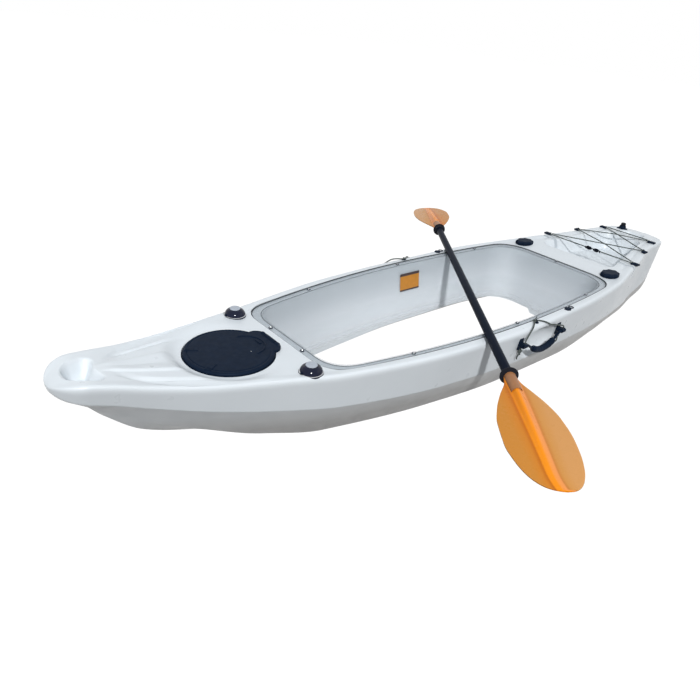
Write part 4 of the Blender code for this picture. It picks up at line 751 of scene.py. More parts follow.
@dataclass
class HullForm:
    """Lines of the hull: its table of offsets and the shape of deck, side and bottom."""

    bow_x: float = 1.578
    bow_round: float = 0.08
    stern_x: float = -1.684
    stern_round: float = 0.094
    chine_inset: float = 0.018
    deck_band: float = 0.042
    gunwale_radius: float = 0.02
    bilge_radius: float = 0.02
    chine_radius: float = 0.012
    keel_half_width: float = 0.022
    tunnel_depth: float = 0.018
    nose_reach: float = 0.042
    nose_z: float = 0.338
    seat_depth: float = 0.0009
    offsets: tuple[tuple[float, ...], ...] = (
        (-1.684, 0.134, 0.303, 0.301, 0.175, 0.113, 0.13, 0.11),
        (-1.62, 0.148, 0.31, 0.308, 0.132, 0.132, 0.078, 0.062),
        (-1.54, 0.164, 0.315, 0.313, 0.094, 0.15, 0.036, 0.022),
        (-1.4, 0.18, 0.315, 0.313, 0.062, 0.167, 0.012, 0.005),
        (-1.2, 0.234, 0.301, 0.299, 0.055, 0.207, 0.0, 0.0),
        (-1.0, 0.286, 0.292, 0.288, 0.08, 0.236, 0.0, 0.0),
        (-0.8, 0.334, 0.282, 0.2765, 0.108, 0.266, 0.0, 0.0),
        (-0.4, 0.379, 0.28, 0.2757, 0.125, 0.308, 0.0, 0.0),
        (0.0, 0.389, 0.271, 0.2755, 0.127, 0.305, 0.0, 0.0),
        (0.4, 0.363, 0.277, 0.2757, 0.134, 0.266, 0.0, 0.0),
        (0.8, 0.293, 0.283, 0.2765, 0.152, 0.184, 0.0, 0.0),
        (1.0, 0.24, 0.296, 0.291, 0.178, 0.124, 0.03, 0.012),
        (1.2, 0.186, 0.312, 0.308, 0.218, 0.082, 0.104, 0.064),
        (1.35, 0.142, 0.335, 0.331, 0.258, 0.06, 0.175, 0.122),
        (1.45, 0.115, 0.357, 0.353, 0.288, 0.044, 0.235, 0.205),
        (1.51, 0.101, 0.366, 0.362, 0.302, 0.038, 0.276, 0.268),
        (1.578, 0.092, 0.356, 0.353, 0.324, 0.03, 0.312, 0.308),
    )

    def __post_init__(self) -> None:
        """Fit a curve through each column of the table."""
        stations = [row[0] for row in self.offsets]
        columns = [Curve1D(stations, [row[i] for row in self.offsets]) for i in range(1, 8)]
        (self.breadth, self.deck_edge, self.deck_middle, self.chine_z, self.bilge_y, self.bilge_z,
         self.keel_z) = columns

    def narrowing(self, x: float) -> float:
        """Share of the breadth that the rounded ends leave.

        Args:
            x: Station.

        Returns:
            The share, 1 away from the ends.
        """
        bow = max(0.0, (x - self.bow_x + self.bow_round) / self.bow_round)
        stern = max(0.0, (self.stern_x + self.stern_round - x) / self.stern_round)
        return math.sqrt(max(0.0, 1 - max(bow, stern) ** 2))

    def deck_height(self, x: float, y: float) -> float:
        """Height of the deck over a point inside the gunwale's rounding.

        Args:
            x: Station.
            y: Half-breadth, either side.

        Returns:
            The height above the ground.
        """
        breadth = self.breadth(x) * self.narrowing(x)
        band = max(breadth - self.deck_band, 0.55 * breadth)
        share = max(0.0, (abs(y) - band) / (breadth - band))
        return self.deck_middle(x) + share * (self.deck_edge(x) - self.deck_middle(x))

    def deck_seat(self, x: float, y: float) -> Vector:
        """Place of a fitting that is let into the deck."""
        return Vector((x, y, self.deck_height(x, y) - self.seat_depth))

    def side_at(self, x: float, z: float) -> float:
        """Half-breadth of the side between chine and gunwale at a height."""
        share = (z - self.chine_z(x)) / (self.deck_edge(x) - self.chine_z(x))
        return self.breadth(x) - self.chine_inset * (1 - share)

    def nose(self, x: float, z: float) -> float:
        """Height of a corner after the rounding of the bow's profile.

        Args:
            x: Station.
            z: Height before the rounding.

        Returns:
            The height, drawn towards the nose's middle over the last stations.
        """
        ahead = max(0.0, (x - self.bow_x + self.nose_reach) / self.nose_reach)
        return self.nose_z + (z - self.nose_z) * math.sqrt(max(0.0, 1 - ahead ** 2.4))

    def corners(self, x: float) -> list[tuple[float, float, float, int]]:
        """Corners of the half section, from the keel round to the middle of the deck.

        Args:
            x: Station.

        Returns:
            Half-breadth, height, corner radius and steps of each corner.
        """
        narrow = self.narrowing(x)
        breadth = self.breadth(x) * narrow
        bilge = self.bilge_y(x) * narrow
        keel = min(self.keel_half_width, 0.25 * bilge)
        span = bilge - keel
        keel_z, bilge_z = self.keel_z(x), self.bilge_z(x)
        hollow = self.tunnel_depth * window(x, -1.52, -1.35, 0.9, 1.12)

        def bottom(share: float, lift: float) -> tuple[float, float]:
            """A corner of the bottom, at a share of its breadth."""
            return keel + share * span, keel_z + share * (bilge_z - keel_z) + lift

        chine = max(breadth - self.chine_inset * narrow, bilge + 0.003)
        deck = max(breadth - self.deck_band, 0.55 * breadth)
        corners = [(0.0, keel_z, 0.0, 1), (keel, keel_z, 0.004, 3), (*bottom(0.08, hollow), 0.006, 3),
                   (*bottom(0.88, hollow), 0.006, 3), (*bottom(0.94, 0.0), 0.004, 3),
                   (bilge, bilge_z, self.bilge_radius, 7),
                   (chine, self.chine_z(x), self.chine_radius, 5),
                   (breadth, self.deck_edge(x), self.gunwale_radius, 9),
                   (deck, self.deck_middle(x), 0.012, 4), (0.0, self.deck_middle(x), 0.0, 1)]
        return [(y, self.nose(x, z), radius, count) for y, z, radius, count in corners]

    def outline(self, x: float, spans: Sequence[int]) -> list[tuple[float, float]]:
        """The half section as evenly split points.

        Args:
            x: Station.
            spans: Steps between each pair of corners.

        Returns:
            Half-breadth and height of each point.
        """
        corners = self.corners(x)
        arcs = []
        for i, (y, z, radius, count) in enumerate(corners):
            here = Vector((y, z))
            if count == 1:
                arcs.append([here])
                continue
            before = Vector(corners[i - 1][:2]) - here
            after = Vector(corners[i + 1][:2]) - here
            turn = math.pi - before.angle(after)
            back = radius * math.tan(turn / 2)
            start = here + before.normalized() * min(back, 0.45 * before.length)
            end = here + after.normalized() * min(back, 0.45 * after.length)
            steps = [k / (count - 1) for k in range(count)]
            arcs.append([start * (1 - t) ** 2 + here * 2 * t * (1 - t) + end * t**2 for t in steps])
        points: list[Vector] = []
        for i, arc in enumerate(arcs):
            if i:
                last = points[-1]
                points += [last.lerp(arc[0], k / spans[i - 1]) for k in range(1, spans[i - 1])]
            points += arc
        return [(point.x, point.y) for point in points]


@dataclass
class CockpitForm:
    """Outline of the cockpit's rim, flange and walls."""

    wall: float = 0.004
    top: float = 0.275
    half_width: float = 0.319
    widest_x: float = -0.05
    fore: float = 0.815
    aft: float = -0.765
    taper_fore: float = 0.126
    taper_aft: float = 0.0836
    corner_fore: float = 0.095
    corner_aft: float = 0.135
    flange: Point = (0.03, 0.037, 0.032)
    lean_side: float = 0.042
    lean_end: float = 0.062
    foot_height: float = 0.024
    foot_round: float = 0.018
    tub_gap: float = 0.002

    def half(self, x: float, side: float) -> float:
        """Half-width of the outline at a station."""
        taper = self.taper_fore if x > self.widest_x else self.taper_aft
        return self.half_width + side - taper * (x - self.widest_x) ** 2

    def outline(self, z: float, side: float = 0.0, fore: float = 0.0, aft: float = 0.0,
                steps: tuple[int, int, int] = (28, 12, 8)) -> list[Point]:
        """Closed outline of the cockpit, moved outwards at its sides and ends.

        Args:
            z: Height of the outline.
            side: Move of the sides.
            fore: Move of the fore end.
            aft: Move of the aft end.
            steps: Points along a side, round a corner and across an end.

        Returns:
            The ring of points.
        """
        along, round_, across = steps
        front, back = self.fore + fore, self.aft - aft
        start, stop = front - self.corner_fore, back + self.corner_aft

        def turn(x0: float, x1: float) -> list[tuple[float, float]]:
            """The rounded corner between a side and an end."""
            taper = self.taper_fore if x0 > self.widest_x else self.taper_aft
            here = self.half(x0, side)
            hinge = here - 2 * taper * (x0 - self.widest_x) * (x1 - x0)
            last = hinge - abs(x1 - x0)
            return [((1 - t) ** 2 * x0 + 2 * t * (1 - t) * x1 + t**2 * x1,
                     (1 - t) ** 2 * here + 2 * t * (1 - t) * hinge + t**2 * last)
                    for t in (k / round_ for k in range(round_ + 1))]

        half = list(reversed(turn(start, front)))
        half += [(x, self.half(x, side))
                 for x in (start + (stop - start) * k / along for k in range(1, along))]
        half += turn(stop, back)
        loop = [(x, y, z) for x, y in half]
        loop += [(back, half[-1][1] * (1 - 2 * k / across), z) for k in range(1, across)]
        loop += [(x, -y, z) for x, y in reversed(half)]
        loop += [(front, -half[0][1] * (1 - 2 * k / across), z) for k in range(1, across)]
        return loop

    def lean(self, z: float) -> tuple[float, float]:
        """Insets of side and end walls at a height."""
        share = (self.top - z) / (self.top - self.foot_height)
        return self.lean_side * share, self.lean_end * share


@dataclass(frozen=True)
class Scoop:
    """A hand scoop in the deck, measured from midships towards its own end of the boat."""

    end: int
    start: float
    stop: float
    swell: float
    swell_width: float
    narrowing: float
    depth: float
    ramp: float
    half: float = 0.074
    corner: float = 0.034

    def reach(self, x: float, y: float) -> float:
        """Distance inside the edge of the scoop.

        Args:
            x: Station.
            y: Half-breadth.

        Returns:
            The distance in metres, negative outside.
        """
        along = self.end * x
        inner = self.start + self.swell * math.exp(-(y / self.swell_width) ** 2)
        half = self.half - self.narrowing * max(0.0, along - self.start)
        return inside_corners(-min(self.stop - along, along - inner), abs(y) - half, self.corner)


@dataclass
class HullShell:
    """The moulded hull with its deck forms, sunk seats and cockpit well."""

    form: HullForm
    cockpit: CockpitForm
    finishes: Finishes
    well_fore: float = -0.945
    well_aft: float = -1.452
    well_half_fore: float = 0.205
    well_half_aft: float = 0.102
    well_floor: float = 0.222
    well_corner: float = 0.05
    hand_x: float = -0.098
    hand_z: float = 0.186
    hand_length: float = 0.105
    hand_depth: float = 0.04
    hand_height: float = 0.068
    hatch_x: float = 1.052
    hatch_z: float = 0.277
    hatch_radius: float = 0.145
    hatch_mouth: float = 0.1038
    dish_lift: float = 0.0085
    edge: float = -0.004
    spans: tuple[int, ...] = (2, 2, 6, 2, 2, 8, 14, 3, 40)
    scoops: tuple[Scoop, ...] = (Scoop(-1, 1.5, 1.594, 0.008, 0.03, 0.22, 0.056, 0.03),
                                 Scoop(1, 1.446, 1.537, 0.012, 0.028, 0.34, 0.051, 0.028))
    round_seats: tuple[Point, ...] = ((0.901, 0.221, 0.0395), (0.901, -0.221, 0.0395),
                                      (-1.598, -0.088, 0.03))

    def __post_init__(self) -> None:
        """Fit the curves of the foredeck's moulded lines."""
        self.groove = Curve1D((0.93, 1.045, 1.105, 1.2, 1.29, 1.371, 1.46),
                              (0.168, 0.161, 0.154, 0.129, 0.102, 0.075, 0.045))
        self.crease = Curve1D((0.93, 0.982, 1.161, 1.261, 1.338, 1.381, 1.411, 1.46),
                              (0.28, 0.265, 0.191, 0.153, 0.114, 0.083, 0.056, 0.02))
        self.ridge = Curve1D((1.19, 1.239, 1.335, 1.431, 1.47), (0.066, 0.056, 0.037, 0.018, 0.01))

    def stations(self) -> list[float]:
        """Stations of the shell, closer at the ends and round the deck forms."""
        stern, bow = self.form.stern_x, self.form.bow_x
        marks = [stern + d for d in (0.0008, 0.003, 0.007, 0.013, 0.021, 0.032, 0.046, 0.062)]
        marks += [-1.612 + 0.0075 * k for k in range(90)]
        marks += [-0.93 + 0.0125 * k for k in range(1, 177)]
        marks += [1.275 + 0.0065 * k for k in range(22)]
        marks += [1.4165 + 0.0034 * k for k in range(36)]
        marks += [bow - d for d in (0.036, 0.031, 0.026, 0.021, 0.016, 0.011, 0.007, 0.004, 0.0018, 0.0005)]
        return sorted(x for x in marks if stern < x < bow)

    def well_reach(self, x: float, y: float) -> float:
        """Distance inside the edge of the tank well.

        Args:
            x: Station.
            y: Half-breadth.

        Returns:
            The distance in metres, negative outside.
        """
        share = (x - self.well_aft) / (self.well_fore - self.well_aft)
        half = self.well_half_aft + (self.well_half_fore - self.well_half_aft) * share
        return inside_corners(max(x - self.well_fore, self.well_aft - x), abs(y) - half, self.well_corner)

    def deck_relief(self, x: float, y: float) -> float:
        """Shallow moulded relief of the foredeck and stern deck.

        Args:
            x: Station.
            y: Half-breadth, either side.

        Returns:
            Its height above the plain deck.
        """
        relief, out = 0.0, abs(y)
        if 0.93 < x < 1.46:
            groove = window(out - self.groove(x), -0.016, 0.0, 0.001, 0.009)
            crease = window(self.crease(x) - out, -0.003, 0.005, 0.01, 0.045)
            ridge = window(out - self.ridge(x), -0.05, -0.004, -0.002, 0.007)
            relief -= 0.0062 * window(x, 1.0, 1.1, 1.33, 1.4) * groove
            relief -= 0.0055 * window(x, 0.95, 1.06, 1.37, 1.43) * crease
            relief += 0.0058 * window(x, 1.2, 1.27, 1.4, 1.46) * ridge
        if x < -0.92:
            outer = self.form.breadth(x) - 0.05
            relief -= 0.0032 * window(-x, 0.92, 1.0, 1.56, 1.63) * math.exp(-((out - outer) / 0.008) ** 2)
        return relief

    def shape_deck(self, x: float, y: float, z: float) -> float:
        """Height of the moulded deck at a point of the plain deck.

        Args:
            x: Station.
            y: Half-breadth, either side.
            z: Height of the plain deck.

        Returns:
            The height with the hatch's dish, the well, the scoops and the relief.
        """
        z += self.deck_relief(x, y)
        if 0.84 < x < 1.27:
            away = math.hypot(x - self.hatch_x, y)
            level = self.hatch_z + self.dish_lift
            z = min(z, level + (z - level) * fade(away, 0.148, 0.2))
        if -1.5 < x < -0.9:
            z += (self.well_floor - z) * fade(self.well_reach(x, y), self.edge, 0.034)
        for scoop in self.scoops:
            if scoop.end * x > scoop.start - 0.03:
                z -= scoop.depth * fade(scoop.reach(x, y), self.edge, scoop.ramp)
        return z

    def shape_side(self, x: float, y: float, z: float) -> float:
        """Half-breadth of the side with the hand space behind the carry handle.

        Args:
            x: Station.
            y: Half-breadth of the plain side.
            z: Height.

        Returns:
            The half-breadth.
        """
        inside = 1 - ((x - self.hand_x) / self.hand_length) ** 2 - ((z - self.hand_z) / self.hand_height) ** 2
        if inside <= 0:
            return y
        floor = self.form.side_at(self.hand_x, self.hand_z) + 0.004 - self.hand_depth * math.sqrt(inside)
        gap = y - floor
        return y - 0.5 * (gap + math.sqrt(gap * gap + 0.00001)) + 0.0016 * (1 - fade(inside, 0.0, 0.25))

    def section(self, x: float) -> list[Point]:
        """Section of the shell.

        Args:
            x: Station.

        Returns:
            The closed ring, from the keel over the deck back to the keel.
        """
        breadth = self.form.breadth(x) * self.form.narrowing(x)
        ring = []
        for y, z in self.form.outline(x, self.spans):
            if z > self.form.chine_z(x) - 0.02 and y > 0.8 * breadth and -0.3 < x < 0.1:
                y = self.shape_side(x, y, z)
            elif y < breadth - 0.012 and z > self.form.deck_middle(x) - 0.02:
                z = self.shape_deck(x, y, z)
            ring.append((x, y, z))
        return ring + [(x, -y, z) for x, y, z in reversed(ring[1:-1])]

    def cutters(self) -> list[Shape]:
        """Shapes that are cut from the shell: cockpit, flange seat, hatch and the seats of the fittings."""
        cockpit, radius = self.cockpit, self.hatch_radius
        out = cockpit.wall + cockpit.tub_gap
        walls = []
        for z in (-0.05, 0.335):
            side, end = cockpit.lean(z)
            walls.append(cockpit.outline(z, out - side, out - end, out - end))
        moves = [value + 0.0022 for value in cockpit.flange]
        levels = (cockpit.top - cockpit.wall - 0.0018, cockpit.top + 0.05)
        hatch = place(self.hatch_x, 0, self.hatch_z)
        hinge_room = hatch @ place(-0.1285, 0, 0.09)
        seat = [(0, 0.09), (radius + 0.004, 0.09), (radius + 0.001, 0.022), (radius, 0.002),
                (radius - 0.002, 0), (0, 0)]
        shapes = [Shaper.stack(walls), Shaper.stack([cockpit.outline(z, *moves) for z in levels]),
                  Shaper.turned(seat, 96, hatch), Shaper.block((0.066, 0.116, 0.18), hinge_room, 0.008),
                  Shaper.rod(self.hatch_mouth, 0.02, -0.16, 64, hatch)]
        for x, y, size in self.round_seats:
            shapes.append(Shaper.rod(size, 0.05, 0.0, 64, place(x, y, self.form.deck_height(x, y) - 0.0012)))
        for side in SIDES:
            shapes.append(Shaper.block((0.02, 0.19, 0.2), place(-1.052, side.sign * 0.245, 0.338), 0.007))
            foot = RodHolder.frame(self.form, side) @ place(0, 0, -0.165)
            shapes.append(Shaper.rod(0.0253, 0.19, 0, 32, foot))
        return shapes

    def build(self) -> None:
        """Loft the shell from its sections and cut its openings."""
        shape = Shaper.stack([self.section(x) for x in self.stations()])
        bmesh.ops.recalc_face_normals(shape, faces=shape.faces)
        # Faces below the chine take the bottom finish, with its painted shade towards the keel.
        for face in shape.faces:
            middle = face.calc_center_median()
            if middle.z < self.form.chine_z(middle.x) - 0.003:
                face.material_index = 1
        hull = Shaper.linked(shape, "hull_shell")
        hull.data.materials.append(self.finishes.hull.material)
        hull.data.materials.append(self.finishes.bottom.material)
        for cutter in self.cutters():
            self.cut(hull, cutter)
        Shaper.dress(hull, self.finishes.hull, "hull_plastic", smooth=32.0)
        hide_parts("hull_bow", "hull_port", "hull_starboard", "hull_stern")

    @staticmethod
    def cut(hull: bpy.types.Object, shape: Shape) -> None:
        """Cut a shape from the hull's mesh.

        Args:
            hull: The hull.
            shape: What is cut away.
        """
        bmesh.ops.recalc_face_normals(shape, faces=shape.faces)
        cutter = Shaper.linked(shape, "cutter")
        step = hull.modifiers.new("cut", "BOOLEAN")
        step.operation = "DIFFERENCE"
        step.solver = "EXACT"
        step.object = cutter
        graph = bpy.context.evaluated_depsgraph_get()
        result = bpy.data.meshes.new_from_object(hull.evaluated_get(graph))
        hull.modifiers.clear()
        old = hull.data
        hull.data = result
        bpy.data.meshes.remove(old)
        bpy.data.objects.remove(cutter)


@dataclass
class CockpitTub:
    """The clear tub with its seal, painted shade lines, flange screws and the blank patch on its wall."""

    form: CockpitForm
    finishes: Finishes
    lip: tuple[Point, ...] = ((0.0, 0.006, 0.006), (0.0012, 0.0025, 0.0025), (0.0045, -0.0004, -0.0006))
    foot: Profile = ((0.35, 0.1), (0.65, 0.32), (0.88, 0.62), (1.0, 1.0))
    seam_past_edge: float = 0.0008
    seam_inside_edge: float = 0.0014
    seam_levels: tuple[float, float] = (-0.0035, 0.0004)
    # Place of the painted shade line under the flange's inner edge.
    shade_line_moves: tuple[float, float] = (0.0085, 0.0058)
    shade_line_levels: tuple[float, float] = (-0.0048, -0.0042)
    screws: Profile = ((0.527, 0.292), (0.0, 0.33), (-0.527, 0.313), (0.839, 0.091), (-0.783, 0.0))
    cup: Profile = ((0.0043, 0.0014), (0.0052, 0.003), (0.0062, 0.0027), (0.0076, 0.0003), (0.0043, 0.0003))
    head: Profile = ((0.0, 0.0018), (0.0012, 0.0018), (0.0016, 0.004), (0.0034, 0.0036), (0.0044, 0.0022),
                     (0.004, 0.0012), (0.0025, 0.0004), (0.0025, -0.018), (0.0, -0.018))

    def build(self) -> None:
        """Build the tub, its lines, screws and patch."""
        self.build_sheet()
        self.build_lines()
        self.build_screws()
        self.build_patch()

    def build_sheet(self) -> None:
        """One sheet from the flange's edge down the wall and across the floor, both faces."""
        form, wall, top = self.form, self.form.wall, self.form.top
        side, end = form.lean(form.foot_height)
        inner = [form.outline(top, *form.flange)]
        inner += [form.outline(top - drop, out, end_out, end_out) for drop, out, end_out in self.lip]
        for share in (0.25, 0.5, 0.75, 1.0):
            z = top + (form.foot_height - top) * share
            lean_side, lean_end = form.lean(z)
            inner.append(form.outline(z, -lean_side, -lean_end, -lean_end))
        for drop, share in self.foot:
            z = form.foot_height - (form.foot_height - wall) * drop
            reach = share * form.foot_round
            inner.append(form.outline(z, -side - reach, -end - reach, -end - reach))
        moves = [(wall, 0.0), (wall, 0.0035), (0.003, wall), (0.001, wall)] + [(0.0006, wall)] * 4
        moves += [(0.0012, 0.0036), (0.0022, 0.003), (0.0032, 0.002), (wall, 0.0)]
        outer = [self.moved(loop, out, down) for loop, (down, out) in zip(inner, moves)]
        Shaper.finish(Shaper.stack(inner[::-1] + outer), "clear_tub_sheet", self.finishes.clear,
                      "clear_plastic", "clear_tub")

    @staticmethod
    def moved(loop: Sequence[Point], out: float, down: float) -> list[Point]:
        """A loop moved outwards along its own plane and downwards.

        Args:
            loop: The ring of points.
            out: Move away from the middle.
            down: Move downwards.

        Returns:
            The moved ring.
        """
        moved = []
        for i, (x, y, z) in enumerate(loop):
            before, after = Vector(loop[i - 1]), Vector(loop[(i + 1) % len(loop)])
            normal = (after - before).normalized().cross(Vector((0, 0, 1)))
            if normal.dot(Vector((x, y, 0))) < 0:
                normal.negate()
            moved.append((x + normal.x * out, y + normal.y * out, z - down))
        return moved

    def build_lines(self) -> None:
        """The dark seam round the flange, which is its seal and the painted shadow of the gap at the rebate,
        and a painted shade line seen through its inner edge.
        """
        form, dark = self.form, self.finishes.deep_black
        outer = [value + self.seam_past_edge for value in form.flange]
        inner = [value - self.seam_inside_edge for value in form.flange]
        low, high = (form.top + level for level in self.seam_levels)
        # The seam: the flange's seal, drawn dark and past the edge as the painted shadow of the gap between
        # flange and rebate.
        seam = [form.outline(z, *moves)
                for z, moves in ((low, outer), (high, outer), (high, inner), (low, inner))]
        Shaper.finish(Shaper.stack(seam, closed=True), "flange_seal_and_shadow", dark, "rubber", "tub_seal")
        # Painted shade: a dark strip under the flange's inner edge, seen through the sheet, for the dark
        # refraction line at its bend.
        far, near = self.shade_line_moves
        low, high = (form.top + level for level in self.shade_line_levels)
        shade_ring = [form.outline(z, out, out, out)
                 for out, z in ((far, low), (far, high), (near, high), (near, low))]
        Shaper.finish(Shaper.stack(shade_ring, closed=True), "rim_shade_line", dark, "rubber")

    def build_screws(self) -> None:
        """Nine screws with dark cup washers."""
        places = [(x, sign * y) for x, y in self.screws for sign in ((1, -1) if y else (1,))]
        for number, (x, y) in enumerate(places, 1):
            at = place(x, y, self.form.top)
            Shaper.finish(Shaper.turned(self.cup, 32, at, ring=True), f"cup_washer_{number}",
                          self.finishes.black, "black_plastic")
            Shaper.finish(Shaper.turned(self.head, 24, at), f"flange_screw_{number}", self.finishes.steel,
                          "steel", f"tub_screw_{number}")

    def build_patch(self) -> None:
        """The blank orange patch with its two dark bands on the starboard wall."""
        form = self.form
        for name, x0, x1, z0, z1, finish in (
                ("wall_patch", -0.132, -0.01, 0.157, 0.219, self.finishes.patch),
                ("patch_band_top", -0.133, -0.009, 0.2195, 0.2315, self.finishes.band),
                ("patch_band_foot", -0.133, -0.009, 0.15, 0.1565, self.finishes.band)):
            shape = bmesh.new()
            bmesh.ops.create_grid(shape, x_segments=8, y_segments=4, size=0.5)
            for vert in shape.verts:
                x = x0 + (x1 - x0) * (vert.co.x + 0.5)
                z = z0 + (z1 - z0) * (vert.co.y + 0.5)
                vert.co = (x, -form.half(x, -form.lean(z)[0]) + 0.0006, z)
            bmesh.ops.solidify(shape, geom=shape.faces, thickness=0.0004)
            Shaper.finish(shape, name, finish, "blade_plastic")


@dataclass
class BowHatch:
    """The round bow hatch: ring, gasket, lid with hinge and its two latches."""

    finishes: Finishes
    middle: Point = (1.052, 0.0, 0.277)
    pin: Point = (0.902, 0.0, 0.2915)
    lift: float = 0.0003
    lid_top: float = 0.017
    ring: Profile = ((0.098, 0.004), (0.1416, 0.004), (0.1416, 0.0062), (0.1432, 0.0062), (0.1438, 0.005),
                     (0.1438, 0.0), (0.103, 0.0), (0.103, -0.022), (0.098, -0.022))
    barrel: Profile = ((0, 0.01), (0.0034, 0.0096), (0.0058, 0.0082), (0.0072, 0.0056), (0.0075, 0.002),
                       (0.0075, -0.002), (0.0072, -0.0056), (0.0058, -0.0082), (0.0034, -0.0096),
                       (0, -0.01))
    gasket: Profile = ((0.1062, 0.0066), (0.1138, 0.0066), (0.114, 0.0055), (0.1138, 0.0043),
                       (0.1062, 0.0043), (0.106, 0.0055))
    hinge_pin: Profile = ((0, 0.052), (0.0026, 0.052), (0.003, 0.0515), (0.003, -0.0515), (0.0026, -0.052),
                          (0, -0.052))
    roll: Profile = ((0.0, 0.0), (0.122, 0.0), (0.1255, -0.0004), (0.1275, -0.002), (0.1295, -0.0004),
                     (0.133, -0.0002), (0.1372, -0.0012), (0.1398, -0.0036), (0.1404, -0.0064))
    underside: Profile = ((0.1404, 0.005), (0.134, 0.005), (0.134, 0.007), (0.094, 0.007),
                          (0.094, -0.0008), (0.09, -0.0008), (0.09, 0.007), (0.0, 0.007))
    lobe_size: Point = (0.072, 0.15, 0.01)
    lobe_corner: float = 0.0355
    knuckle: Profile = ((0, 0.029), (0.0066, 0.029), (0.0075, 0.028), (0.0075, -0.028), (0.0066, -0.029),
                        (0, -0.029))
    stud: Profile = ((0, 0.0068), (0.0016, 0.0067), (0.0024, 0.006), (0.0026, 0.005), (0, 0.005))
    rib_radius: float = 0.062
    latch_reach: float = 0.093
    latch_turn: float = math.radians(32)

    def build(self) -> None:
        """Build the hatch's pieces."""
        at = Matrix.Translation(Vector(self.middle) + Vector((0, 0, self.lift)))
        pin_x, _, pin_z = self.pin
        rim = [Shaper.turned(self.ring, 128, at, ring=True)]
        for side in SIDES:
            lug = place(pin_x + 0.0225, side.sign * 0.0395, 0.2837)
            rim.append(Shaper.block((0.034, 0.017, 0.0128), lug, 0.004))
            rim.append(Shaper.turned(self.barrel, 32, place(pin_x, side.sign * 0.041, pin_z) @ ACROSS))
        Shaper.finish(Shaper.merged(rim), "hatch_rim", self.finishes.black, "black_plastic", "hatch_ring")
        Shaper.finish(Shaper.turned(self.gasket, 96, at, ring=True), "hatch_seal", self.finishes.rubber,
                      "rubber", "hatch_gasket")
        Shaper.finish(Shaper.turned(self.hinge_pin, 24, place(*self.pin) @ ACROSS), "hatch_pin",
                      self.finishes.steel, "steel", "hatch_hinge_pin")
        self.build_lid(at)
        for side in SIDES:
            self.build_latch(side)

    def lobe(self) -> Shape:
        """The flat plate over the hinge, with rounded corners and a soft rim."""
        shape = bmesh.new()
        bmesh.ops.create_cube(shape, size=1.0)
        bmesh.ops.scale(shape, vec=self.lobe_size, verts=shape.verts)
        for offset, segments, upright in ((self.lobe_corner, 14, True), (0.0024, 3, False)):
            rises = [(edge, abs(edge.verts[0].co.z - edge.verts[1].co.z)) for edge in shape.edges]
            chosen = [edge for edge, rise in rises if (rise > 0.005 if upright else rise < 0.001)]
            bmesh.ops.bevel(shape, geom=chosen, offset=offset, segments=segments, profile=0.5, affect="EDGES",
                            material=-1)
        bmesh.ops.translate(shape, vec=(self.pin[0] + 0.0285, 0.0, self.middle[2] + self.lift + 0.0118),
                            verts=shape.verts)
        return shape

    @staticmethod
    def rib_girth(share: float) -> float:
        """Radius of the grip rib, which thins at both ends."""
        return 0.0008 + 0.0026 * math.sqrt(max(0.0, 1 - (2 * share - 1) ** 8))

    def build_lid(self, at: Matrix) -> None:
        """The lid with its edge roll, the lobe and knuckle of its hinge, grip rib, tab and marker dot.

        Args:
            at: Place of the hatch's seat.
        """
        top = self.middle[2] + self.lift + self.lid_top
        profile = [(radius, self.lid_top + drop) for radius, drop in self.roll] + list(self.underside)
        centre = Vector((0.995, 0.0, top - 0.0004))
        rib = [centre + Vector((math.cos(a), math.sin(a), 0)) * self.rib_radius
               for a in (math.radians(92 + 176 * k / 40) for k in range(41))]
        shapes = [Shaper.turned(profile, 128, at), self.lobe(),
                  Shaper.turned(self.knuckle, 32, place(*self.pin) @ ACROSS),
                  Shaper.swept(rib, self.rib_girth, 12),
                  Shaper.block((0.01, 0.03, 0.006), place(self.middle[0] - 0.105, 0.0, top), 0.0018)]
        Shaper.finish(Shaper.merged(shapes), "hatch_cover", self.finishes.black, "black_plastic", "hatch_lid",
                      Body.LID.value)
        dot = Shaper.turned([(0, 0.0005), (0.001, 0.0004), (0.0015, -0.0002), (0, -0.0002)], 16,
                            place(0.999, 0.041, top))
        Shaper.finish(dot, "lid_dot", self.finishes.webbing, "black_plastic", body=Body.LID.value)

    def build_latch(self, side: Side) -> None:
        """A flap latch near the lid's fore edge.

        Args:
            side: Side of the lid.
        """
        turn = side.sign * self.latch_turn
        over, aside = self.latch_reach * math.cos(turn), self.latch_reach * math.sin(turn)
        at = place(self.middle[0] + over, aside, 0.2906) @ Matrix.Rotation(turn, 4, "Z")
        flap = [Shaper.block((0.042, 0.02, 0.0052), at @ place(0.021, 0, 0.003), 0.0014)]
        for step in range(3):
            flap.append(Shaper.block((0.0022, 0.014, 0.0016), at @ place(0.03 + 0.004 * step, 0, 0.0058),
                                     0.0005, 2))
        flap.append(Shaper.turned(self.stud, 16, at @ place(0.014, 0, 0)))
        Shaper.finish(Shaper.merged(flap), f"lid_latch_{side.word}", self.finishes.black, "black_plastic",
                      f"hatch_latch_{side.word}", Body.LATCH.at(side))


